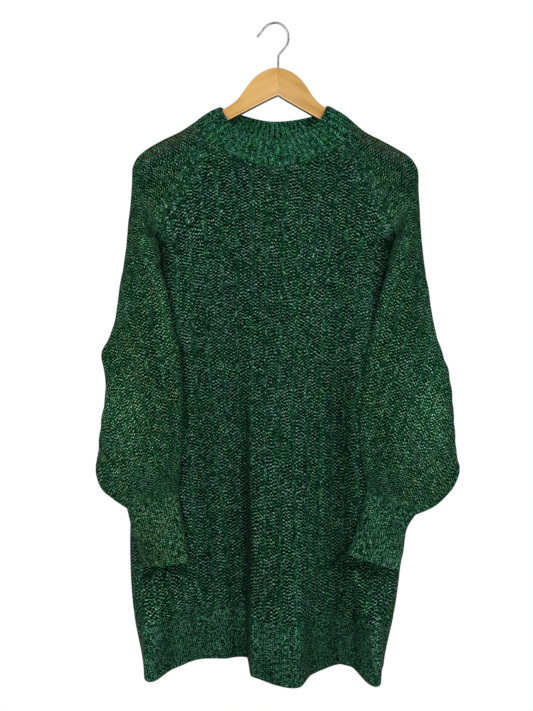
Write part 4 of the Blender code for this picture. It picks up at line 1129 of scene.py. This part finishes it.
def knit_material(name, kind, wale, course, grain, seed, gain=1.0):
    """Yarn with a metallic thread. kind is net (open stitches between closed ribs),
    close or rib. wale and course are the stitches to one unit of the knit coordinates."""
    n = Nodes(name)
    closed_zone, wood, yellow, tone_and_shade = n.attribute("zone")
    coords = n.uv("knit")
    u0, v0, _ = n.split(coords)
    u = n.math("MULTIPLY", u0, wale)
    v = n.math("MULTIPLY", v0, course)
    stitch = n.vector(u, v)
    # the stitches wander a little
    drift = n.noise(n.vector(n.math("MULTIPLY", u, 1.5), n.math("MULTIPLY", v, 0.5)),
                    0.33, 2.0, 0.6, "2D")
    dr, dg, _ = n.split(drift["Color"])
    uw = n.math("ADD", u, n.math("MULTIPLY", n.math("SUBTRACT", dr, 0.5), 0.55))
    vw = n.math("ADD", v, n.math("MULTIPLY", n.math("SUBTRACT", dg, 0.5), 1.8))
    # each column of stitches sits half a course from its neighbour
    column_at = n.math("FLOOR", uw)
    half = n.math("MULTIPLY", n.math("MODULO", n.math("ABSOLUTE", column_at), 2.0), 0.5)
    vs = n.math("ADD", vw, half)
    own = n.random(n.vector(n.math("ADD", column_at, seed), n.math("FLOOR", vs)))
    own_r, own_g, _ = n.split(own["Color"])
    fx = n.math("SUBTRACT", n.math("FRACT", uw), 0.5)
    fy = n.math("SUBTRACT", n.math("FRACT", vs), 0.5)
    # flecks: cells smaller than a stitch, each with its own brightness
    fleck = n.cells(n.vector(n.math("ADD", uw, seed * 3.1), vw), grain)
    fr, fg, fb = n.split(fleck["Color"])
    broad = n.noise(stitch, 0.13, 3.0, 0.6, "2D")
    br, bg, bb = n.split(broad["Color"])
    by_stitch, by_fleck = {"net": (0.27, 0.66), "close": (0.16, 0.78), "rib": (0.16, 1.10)}[kind]
    level = n.math("MULTIPLY", own["Value"], by_stitch)
    level = n.math("ADD", level, n.math("MULTIPLY", fr, by_fleck))
    level = n.math("ADD", level, n.math("MULTIPLY", n.math("SUBTRACT", br, 0.5), 0.09))
    # now and then one fleck is painted brighter, a painted glint of the metallic thread
    painted_glint = {"net": (0.93, 0.98, 0.40), "close": (0.90, 0.96, 0.76), "rib": (0.90, 0.96, 0.80)}[kind]
    level = n.math("ADD", level, n.math("MULTIPLY", n.smooth(fb, *painted_glint[:2]), painted_glint[2]))
    level = n.math("SUBTRACT", level, {"net": 0.07, "close": 0.18, "rib": 0.34}[kind])
    if kind == "net":
        rib_place = n.math("ABSOLUTE", n.math("SUBTRACT", n.math("FRACT", u0), 0.5))
        rib = n.smooth(rib_place, 0.35, 0.40)
        closed = n.math("MAXIMUM", rib, closed_zone, clamp=True)
        open_net = n.math("SUBTRACT", 1.0, closed)
        size = n.linear(own_r, 0.0, 1.0, 0.88, 1.28)
        size = n.math("MULTIPLY", size, n.linear(closed, 0.0, 1.0, 1.0, 0.60))
        dx = n.math("DIVIDE", fx, n.math("MULTIPLY", size, 0.39))
        dy = n.math("DIVIDE", fy, n.math("MULTIPLY", size, 0.32))
        d = n.math("SQRT", n.math("ADD", n.math("MULTIPLY", dx, dx), n.math("MULTIPLY", dy, dy)))
        hole = n.math("MULTIPLY", n.math("SUBTRACT", 1.0, n.smooth(d, 0.92, 1.12)),
                      n.linear(closed, 0.0, 1.0, 1.0, 0.82))
        # the strand between two holes of a column is painted lighter, a painted highlight
        strand_highlight = n.math("MULTIPLY", n.smooth(n.math("ABSOLUTE", fy), 0.30, 0.46),
                     n.math("SUBTRACT", 1.0, n.smooth(n.math("ABSOLUTE", fx), 0.12, 0.40)))
        level = n.math("ADD", level, n.math("MULTIPLY", strand_highlight, n.linear(open_net, 0.0, 1.0, 0.16, 0.40)))
        level = n.math("ADD", level, 0.06)
    else:
        closed, open_net, hole, rib = 1.0, 0.0, 0.0, 0.0
        # a dark point between the stitches
        dx, dy = n.math("DIVIDE", fx, 0.40), n.math("DIVIDE", fy, 0.36)
        d = n.math("SQRT", n.math("ADD", n.math("MULTIPLY", dx, dx), n.math("MULTIPLY", dy, dy)))
        point = n.math("SUBTRACT", 1.0, n.smooth(d, 0.55, 1.15))
        level = n.math("SUBTRACT", level, n.math("MULTIPLY", point, n.linear(own_r, 0.0, 1.0, 0.38, 0.76)))
        level = n.math("ADD", level, 0.32)
    if kind == "rib":
        # two strands on each rib, a furrow beside it painted darker as painted shade
        place = n.math("ABSOLUTE", n.math("SUBTRACT", n.math("FRACT", u0), 0.5))
        furrow_shade = n.math("SUBTRACT", 1.0, n.smooth(place, 0.06, 0.18))
        ridge = n.smooth(place, 0.42, 0.5)
        level = n.math("SUBTRACT", level, n.math("MULTIPLY", furrow_shade, 0.34))
        level = n.math("SUBTRACT", level, n.math("MULTIPLY", ridge, 0.12))
        level = n.math("ADD", level, 0.10)
    # the tight knits hide more of the pale core of the yarn
    tint = {"net": (0.95, 1.0, 0.98), "close": (0.81, 1.0, 0.98), "rib": (0.52, 1.0, 0.82)}[kind]
    thread = n.ramp(level, [(place_, tuple(c * GAIN * gain * t for c, t in zip(colour, tint)))
                            for place_, colour in THREAD])
    # the metallic thread turns pure green, blue-green or yellow-green in patches
    patchy = {"net": 0.94, "close": 0.48, "rib": 0.94}[kind]
    hue = n.math("ADD", n.math("MULTIPLY", fg, 0.30), n.math("MULTIPLY", bg, patchy))
    hue = n.math("ADD", hue, n.math("SUBTRACT", n.math("MULTIPLY", yellow, 0.5),
                                    0.12 - 0.5 * (0.94 - patchy)), clamp=True)
    cast = n.ramp(hue, [(0.0, (0.50, 1.0, 1.12)), (0.34, (0.75, 1.0, 1.06)), (0.50, (0.98, 0.97, 1.02)),
                        (0.60, (0.75, 1.06, 0.90)), (0.70, (0.52, 1.13, 0.78)),
                        (0.82, (0.95, 1.05, 0.80)), (1.0, (1.28, 1.06, 0.68))])
    thread = n.mix(1.0, thread, cast, "MULTIPLY")
    warm = n.linear(yellow, 0.20, 0.75, 1.0, 1.27)
    thread = n.mix(1.0, thread, n.vector(warm, 1.0, 1.0), "MULTIPLY")
    if kind == "net":
        # the holes are painted near black, a painted shade of the dress's inside seen through them, brown where
        # the hanger's wood lies behind
        shaded_inside = n.mix(wood, (0.0001, 0.0009, 0.0004, 1.0), (0.020, 0.010, 0.004, 1.0))
        colour = n.mix(hole, thread, shaded_inside)
        colour = n.mix(n.math("MULTIPLY", wood, 0.03), colour, (0.030, 0.015, 0.007, 1.0))
    else:
        colour = thread
    # multiply in the tone, with its painted light and painted shade
    colour = n.mix(1.0, colour, n.vector(tone_and_shade, tone_and_shade, tone_and_shade), "MULTIPLY")
    n.put(n.shader.inputs["Base Color"], colour)
    # the brightest flecks are metal
    metal = n.math("MULTIPLY", n.smooth(level, 0.70, 0.90), n.linear(hole, 0.0, 1.0, 0.5, 0.0))
    n.put(n.shader.inputs["Metallic"], metal)
    n.put(n.shader.inputs["Roughness"], n.linear(n.smooth(level, 0.6, 0.9), 0.0, 1.0, 0.85, 0.45))
    n.shader.inputs["Specular IOR Level"].default_value = 0.005
    # height: strands stand up round the holes, stitches swell, threads are round
    round_thread = n.math("SUBTRACT", 0.6, fleck["Distance"], clamp=True)
    if kind == "net":
        swell = n.math("SUBTRACT", 0.5, n.math("ABSOLUTE", fy))
        height = n.math("ADD", n.math("SUBTRACT", 1.0, hole), n.math("MULTIPLY", round_thread, 0.6))
        height = n.math("ADD", height, n.math("MULTIPLY", swell, n.math("MULTIPLY", closed, 0.6)))
    else:
        height = n.math("ADD", n.math("MULTIPLY", n.math("ABSOLUTE", fx), 0.8),
                        n.math("MULTIPLY", n.math("ABSOLUTE", fy), -0.6))
        height = n.math("ADD", height, n.math("MULTIPLY", round_thread, 0.6))
    n.put(n.shader.inputs["Normal"], n.bump(height, 0.5, 0.0010))
    return n.mat


def wood_material(name, slope, tones, seed):
    """Varnished wood, its grain along the arm. slope is the arm's angle in degrees."""
    n = Nodes(name)
    place = n.tree.nodes.new("ShaderNodeTexCoord").outputs["Object"]
    turn = n.tree.nodes.new("ShaderNodeMapping")
    turn.vector_type = "POINT"
    turn.inputs["Rotation"].default_value = (0.0, math.radians(slope), 0.0)
    n.put(turn.inputs["Vector"], place)
    stretch = n.tree.nodes.new("ShaderNodeMapping")
    stretch.inputs["Location"].default_value = (seed, seed * 0.7, seed * 0.3)
    stretch.inputs["Scale"].default_value = (7.0, 60.0, 75.0)
    n.put(stretch.inputs["Vector"], turn.outputs[0])
    bands = n.noise(stretch.outputs[0], 1.0, 4.0, 0.55)["Fac"]
    fine = n.tree.nodes.new("ShaderNodeMapping")
    fine.inputs["Scale"].default_value = (40.0, 500.0, 700.0)
    n.put(fine.inputs["Vector"], turn.outputs[0])
    pores = n.noise(fine.outputs[0], 1.0, 3.0, 0.7)["Fac"]
    broad = n.noise(place, 16.0, 2.0, 0.5)["Fac"]
    level = n.math("ADD", n.math("MULTIPLY", bands, 0.7), n.math("MULTIPLY", broad, 0.3))
    body = n.ramp(level, [(0.30, tones[0]), (0.50, tones[1]), (0.68, tones[2])])
    dark = n.math("MULTIPLY", n.smooth(pores, 0.60, 0.80), 0.42)
    colour = n.mix(dark, body, (*scaled(tones[0], 0.55), 1.0))
    # small scuffs in the varnish
    marks = n.tree.nodes.new("ShaderNodeMapping")
    marks.inputs["Rotation"].default_value = (0.0, math.radians(slope + 32.0), 0.0)
    marks.inputs["Scale"].default_value = (120.0, 300.0, 650.0)
    n.put(marks.inputs["Vector"], place)
    scuff = n.smooth(n.noise(marks.outputs[0], 1.0, 2.0, 0.6)["Fac"], 0.66, 0.76)
    colour = n.mix(n.math("MULTIPLY", scuff, 0.35), colour, (*scaled(tones[2], 1.5), 1.0))
    # toward the middle, low on the arms, the colour is paler
    px, py, pz = n.split(place)
    paler_lower_middle = n.math("MULTIPLY", n.smooth(n.math("ABSOLUTE", n.math("SUBTRACT", px, 0.003)), 0.060, 0.0),
                    n.smooth(pz, -0.085, -0.125))
    paler_lower_middle = n.math("MULTIPLY", paler_lower_middle, n.linear(bands, 0.3, 0.7, 0.10, 0.55))
    colour = n.mix(paler_lower_middle, colour, (*scaled(tones[2], 1.02)[:2], tones[2][2] * 1.8, 1.0))
    # along the lower front edge the colour is lighter, partly worn varnish and partly a painted highlight;
    # underneath it is painted dark brown, a painted shade
    facing = n.tree.nodes.new("ShaderNodeTexCoord").outputs["Normal"]
    nx, ny, nz = n.split(facing)
    under = n.smooth(nz, -0.55, -0.80)
    edge = n.math("MULTIPLY", n.smooth(nz, -0.12, -0.30), n.math("SUBTRACT", 1.0, n.smooth(nz, -0.48, -0.62)))
    colour = n.mix(n.math("MULTIPLY", edge, 0.75), colour, (0.80, 0.62, 0.36, 1.0))
    colour = n.mix(n.math("MULTIPLY", under, 0.95), colour, (0.050, 0.022, 0.003, 1.0))
    n.put(n.shader.inputs["Base Color"], colour)
    n.put(n.shader.inputs["Roughness"], n.linear(broad, 0.3, 0.7, 0.38, 0.52))
    n.shader.inputs["Specular IOR Level"].default_value = 0.10
    n.shader.inputs["Coat Weight"].default_value = 0.08
    n.shader.inputs["Coat Roughness"].default_value = 0.18
    n.put(n.shader.inputs["Normal"], n.bump(pores, 0.12, 0.0004))
    return n.mat


def steel_material(name):
    n = Nodes(name)
    place = n.tree.nodes.new("ShaderNodeTexCoord").outputs["Object"]
    smear = n.noise(place, 220.0, 3.0, 0.6)["Fac"]
    spots = n.smooth(n.noise(place, 900.0, 2.0, 0.5)["Fac"], 0.62, 0.75)
    colour = n.mix(n.math("MULTIPLY", spots, 0.4), n.ramp(smear, [
        (0.35, (0.13, 0.13, 0.135)), (0.65, (0.26, 0.26, 0.27))]), (0.07, 0.065, 0.06, 1.0))
    n.put(n.shader.inputs["Base Color"], colour)
    n.shader.inputs["Metallic"].default_value = 1.0
    n.put(n.shader.inputs["Roughness"], n.linear(smear, 0.3, 0.7, 0.16, 0.30))
    n.put(n.shader.inputs["Normal"], n.bump(smear, 0.05, 0.0002))
    return n.mat


mesh_knit = knit_material("mesh_knit", "net", WALES, 1.0 / COURSE, 3.3, 0.0)
close_knit = knit_material("close_knit", "close", WALES * 1.2, 1.0 / 3.6, 3.0, 5.0, 0.73)
rib_knit = knit_material("rib_knit", "rib", 3.0, 1.0 / 3.5, 2.9, 9.0, 0.58)
wood_left = wood_material("varnished_wood_left", 27.0,
                          [(0.225, 0.116, 0.026), (0.295, 0.166, 0.045), (0.340, 0.206, 0.066)], 3.0)
wood_right = wood_material("varnished_wood_right", -29.0,
                           [(0.205, 0.106, 0.022), (0.268, 0.148, 0.038), (0.315, 0.185, 0.058)], 8.0)
steel = steel_material("hook_steel")


# ------------------------------------------------------------------- pieces
CORNERS = {True: corner_shares(True), False: corner_shares(False)}
pieces = {}


def declare(obj, node):
    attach(obj, "root")
    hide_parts(node)
    pieces[node] = obj


def raglan_band(x, z):
    """1 close to a raglan seam, where the knit is closed."""
    left = x - at(RAGLAN, "z", "left", z)
    right = at(RAGLAN, "z", "right", z) - x
    reach = np.minimum(left, right)
    steps = 3.0 * noise(z / 5.2, x / 400.0, 5)
    return ease((21.0 + steps - reach) / 5.0) * ease((z + 375.0) / 14.0)


def seam_line(grid, front):
    """Set the side edges a hair back from the other panel's, tighter below the underarm."""
    for side in (0, -1):
        tight = ease((UNDERARM_Z - 20.0 - grid[:, side, 2]) / 40.0)
        gap = SEAM_HALF + (SIDE_SEAM_HALF - SEAM_HALF) * tight
        grid[:, side, 1] += -gap if front else gap


necks = {}
for is_front in (True, False):
    (panel, band), seams, tops = body_pieces(is_front)
    word = "front" if is_front else "back"
    grid, knit = panel
    x, z = grid[..., 0], grid[..., 2]
    closedness = raglan_band(x, z)
    # the last courses by the hem seam and the neckline are closed
    closedness = np.maximum(closedness, ease((seams[None, :] + 9.0 - z) / 5.0))
    closedness = np.maximum(closedness, ease((z - tops[None, :] + 8.0) / 5.0)
                            * (abs(x) < 116))
    yellow = 0.10 + 0.10 * noise(x / 60.0, z / 120.0, 41) + 0.16 * ease((-900.0 - z) / 90.0)
    tone_and_shade = 1.0 + 0.05 * noise(x / 70.0, z / 160.0, 42)
    # painted light and painted shade on the front
    if is_front:
        tone_and_shade = tone_and_shade * painted_shading(FRONT_PAINTED_SHADING, x, z)
    zone = zone_of(grid, knit, closedness, yellow, tone_and_shade)
    # seams: each edge a hair back from its neighbour's
    grid[0, :, 2] += SEAM_HALF
    grid[-1, :, 2] -= SEAM_HALF
    seam_line(grid, is_front)
    obj = cloth_object(word + "_knit", grid, KNIT_WALL, knit, zone, False, mesh_knit, 0.7)
    declare(obj, word)
    necks[is_front] = (grid, tops)
    grid, knit = band
    x, z = grid[..., 0], grid[..., 2]
    yellow = 0.22 + 0.12 * noise(x / 50.0, z / 50.0, 43)
    tone_and_shade = 0.88 + 0.05 * noise(x / 60.0, z / 60.0, 44)
    # painted light and painted shade on the front hem
    if is_front:
        tone_and_shade = tone_and_shade * painted_shading(FRONT_PAINTED_SHADING, x, z)
    zone = zone_of(grid, knit, 1.0, yellow, tone_and_shade)
    grid[-1, :, 2] -= SEAM_HALF
    seam_line(grid, is_front)
    obj = cloth_object("hem_" + word + "_knit", grid, BAND_WALL, knit, zone, False, close_knit, 1.0)
    declare(obj, "hem_" + word)

sleeves = {}
for word, table, crest, creases, seed in (
        ("left", SLEEVE_LEFT, CREST_LEFT, CREASES_LEFT, 50),
        ("right", SLEEVE_RIGHT, CREST_RIGHT, CREASES_RIGHT, 60)):
    grid, knit, out, around, raglan = sleeve_piece(table, crest, creases, word == "left", seed)
    rows = grid.shape[0]
    index = np.arange(rows)[:, None]
    along_front = np.concatenate([[0.0], np.cumsum(np.linalg.norm(np.diff(grid, axis=1), axis=2).mean(axis=0))])
    run = np.cumsum(np.linalg.norm(np.diff(grid, axis=1, prepend=grid[:, :1]), axis=2), axis=1)
    reach = np.minimum(run, run[:, -1:] - run)
    steps = 3.0 * noise(grid[..., 2] / 5.2, around * 2, 6)
    closedness = ease((20.0 + steps - reach) / 5.0) * ease((raglan + 3 - index) / 5.0)
    closedness = np.maximum(closedness, ease((4 - index) / 3.0))
    closedness = np.maximum(closedness, ease((index - rows + 4) / 3.0))
    left = word == "left"
    z = grid[..., 2]
    yellow = (0.36 if left else 0.16) * ease((-160.0 - z) / 140.0) + 0.10 + 0.16 * noise(
        around * 6, z / 110.0, seed + 7)
    tone_and_shade = 1.08 + 0.06 * noise(around * 7, z / 120.0, seed + 8)
    # painted light and painted shade on the sleeve
    tone_and_shade = tone_and_shade * painted_shading(LEFT_PAINTED_SHADING if left else RIGHT_PAINTED_SHADING, grid[..., 0], z)
    zone = zone_of(grid, knit, closedness, yellow, tone_and_shade)
    grid[0, :, 0] += SEAM_HALF * (-1 if left else 1)
    grid[-1, :, 2] += SEAM_HALF
    obj = cloth_object("sleeve_" + word + "_knit", grid, KNIT_WALL, knit, zone, False, mesh_knit, 0.6)
    declare(obj, "sleeve_" + word)
    sleeves[word] = grid
for word, table, seed in (("left", CUFF_LEFT, 80), ("right", CUFF_RIGHT, 90)):
    grid, knit = cuff_piece(table, seed)
    left = word == "left"
    around = np.arange(grid.shape[1])[None, :] / grid.shape[1]
    z = grid[..., 2]
    yellow = (0.58 if left else 0.30) + 0.12 * noise(around * 12, z / 20.0, seed + 3)
    tone_and_shade = (0.98 if left else 1.00) + 0.05 * noise(around * 10, z / 25.0, seed + 4)
    # painted light and painted shade on the cuff
    tone_and_shade = tone_and_shade * painted_shading(CUFF_PAINTED_SHADING, grid[..., 0], z)
    zone = zone_of(grid, knit, 1.0, yellow, tone_and_shade, True)
    grid[0, :, 2] -= SEAM_HALF
    obj = cloth_object("cuff_" + word + "_knit", grid, BAND_WALL, knit, zone, True, close_knit, 1.0)
    declare(obj, "cuff_" + word)

# the collar starts on the edges of the panels and sleeves
front_grid, back_grid = necks[True][0], necks[False][0]
cut = int(PANEL_COLS * 0.26)
front_neck = front_grid[-1, cut:len(front_grid[0]) - cut]
back_neck = back_grid[-1, cut:len(back_grid[0]) - cut]
grid, knit, ribs = collar_piece(front_neck[::-1], sleeves["left"][0], back_neck,
                                sleeves["right"][0][::-1])
s = np.arange(grid.shape[1])[None, :] / grid.shape[1]
h = np.linspace(0.0, 1.0, grid.shape[0])[:, None]
yellow = 0.14 + 0.16 * noise(s * 30, h * 3, 97)
# rib crests painted lighter and furrows darker, a painted shade on the ribs
tone_and_shade = 1.12 + 0.10 * ribs + 0.05 * noise(s * 20, h * 2, 98)
zone = zone_of(grid, knit, 1.0, yellow, 1.0, True)
# the inside of the back collar painted lighter, a painted light, and the collar's sides a little darker, a
# painted shade
zone[..., 3] = tone_and_shade * (1.0 + 0.45 * ease((grid[..., 1] - 2.0) / 14.0)) * (
    1.0 - 0.06 * np.exp(-((abs(grid[..., 0] + 2.0) - 86.0) / 26.0)**2))
grid[0, :, 2] += SEAM_HALF
obj = cloth_object("collar_knit", grid, COLLAR_WALL, knit, zone, True, rib_knit, 1.0)
declare(obj, "collar")


# ------------------------------------------------------------------- hanger
def arm_object(name, table, side, mat):
    """Lofted hanger half with rounded edges, as the CAD solid but finer."""
    radius, steps = 1.7, 6
    xs = column(table, "x") * side
    stations = np.linspace(xs[0] + 0.15, xs[-1], 90)
    verts, faces, ends, ring = [], [], [], 4 * (steps + 1)
    for number, s in enumerate(stations):
        top = float(hermite(s, xs, column(table, "top")))
        low = float(hermite(s, xs, column(table, "bottom")))
        shrink = 3.0 * ease((s - xs[-1] + 7.0) / 7.0)
        top, low, half = top - shrink, low + shrink, WOOD_HALF - shrink
        corners = [(half, top, 0), (-half, top, 90), (-half, low, 180), (half, low, 270)]
        ends.append(len(verts))
        for cy, cz, angle in corners:
            oy = cy - math.copysign(radius, cy)
            oz = cz - radius if angle < 180 else cz + radius
            for k in range(steps + 1):
                t = math.radians(angle + 90.0 * k / steps)
                verts.append((s * side * MM, (oy + radius * math.cos(t)) * MM,
                              (oz + radius * math.sin(t)) * MM))
    for a, b in zip(ends[:-1], ends[1:]):
        for k in range(ring):
            m = (k + 1) % ring
            faces.append((a + k, a + m, b + m, b + k) if side > 0 else (a + k, b + k, b + m, a + m))
    first = tuple(range(ends[0], ends[0] + ring))
    final = tuple(range(ends[-1], ends[-1] + ring))
    faces += [first[::-1], final] if side > 0 else [first, final[::-1]]
    mesh = bpy.data.meshes.new(name)
    mesh.from_pydata(verts, [], faces)
    mesh.shade_smooth()
    mesh.set_sharp_from_angle(angle=math.radians(50))
    mesh.materials.append(mat)
    obj = bpy.data.objects.new(name, mesh)
    bpy.context.scene.collection.objects.link(obj)
    return obj


for word, table, side, mat in (("left", ARM_LEFT, -1, wood_left), ("right", ARM_RIGHT, 1, wood_right)):
    arm = arm_object("wood_" + word, table, side, mat)
    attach(arm, "root")
    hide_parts("hanger_arm_" + word)

path = smooth_path([(w.x, 0.0, w.z) for w in HOOK], 8)
curve = bpy.data.curves.new("hook_wire", "CURVE")
curve.dimensions = "3D"
curve.bevel_depth = WIRE / 2 * MM
curve.bevel_resolution = 5
curve.use_fill_caps = True
spline = curve.splines.new("POLY")
spline.points.add(len(path) - 1)
for point, p in zip(spline.points, path):
    point.co = (p[0] * MM, p[1] * MM, p[2] * MM, 1.0)
spline.use_smooth = True
curve.materials.append(steel)
hook = bpy.data.objects.new("hook_wire", curve)
bpy.context.scene.collection.objects.link(hook)
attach(hook, "root")
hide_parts("hanger_hook")


# ------------------------------------------------------------------- studio
FLOOR_Z, FLOOR_RADIUS = -1.60, 0.90
bpy.ops.mesh.primitive_circle_add(vertices=96, radius=FLOOR_RADIUS, fill_type="NGON",
                                  location=(-0.016, 0.0, FLOOR_Z))
floor = bpy.context.object
floor.name = "floor"
pale = Nodes("pale_floor")
pale.shader.inputs["Base Color"].default_value = (0.82, 0.82, 0.81, 1.0)
pale.shader.inputs["Roughness"].default_value = 0.8
floor.data.materials.append(pale.mat)

world = bpy.data.worlds.new("studio")
bpy.context.scene.world = world
world.use_nodes = True
sky = world.node_tree.nodes["Background"]
sky.inputs["Color"].default_value = (1.0, 1.0, 1.0, 1.0)
sky.inputs["Strength"].default_value = 1.0


def area_light(name, place, target, size, power):
    data = bpy.data.lights.new(name, "AREA")
    data.shape = "SQUARE"
    data.size = size
    data.energy = power
    lamp = bpy.data.objects.new(name, data)
    lamp.location = place
    way = np.array(target) - np.array(place)
    flat_way = math.hypot(way[0], way[1])
    lamp.rotation_euler = (math.atan2(flat_way, -way[2]), 0.0, math.atan2(-way[0], way[1]))
    bpy.context.scene.collection.objects.link(lamp)
    return lamp


area_light("key", (-1.3, -2.4, -0.1), (0.0, 0.0, -0.62), 1.6, 72.0)
area_light("fill", (1.5, -2.4, -0.5), (0.0, 0.0, -0.62), 1.8, 58.0)

camera_data = bpy.data.cameras.new("camera")
camera_data.lens = 44.76
camera_data.sensor_width = 36.0
camera_data.sensor_fit = "AUTO"
camera_data.clip_start = 0.05
camera_data.clip_end = 50.0
camera = bpy.data.objects.new("camera", camera_data)
camera.location = (-0.016, -1.45, -0.544)
camera.rotation_euler = (math.pi / 2, 0.0, 0.0)
bpy.context.scene.collection.objects.link(camera)
bpy.context.scene.camera = camera
bpy.context.scene.view_settings.view_transform = "Standard"

bpy.context.view_layer.update()
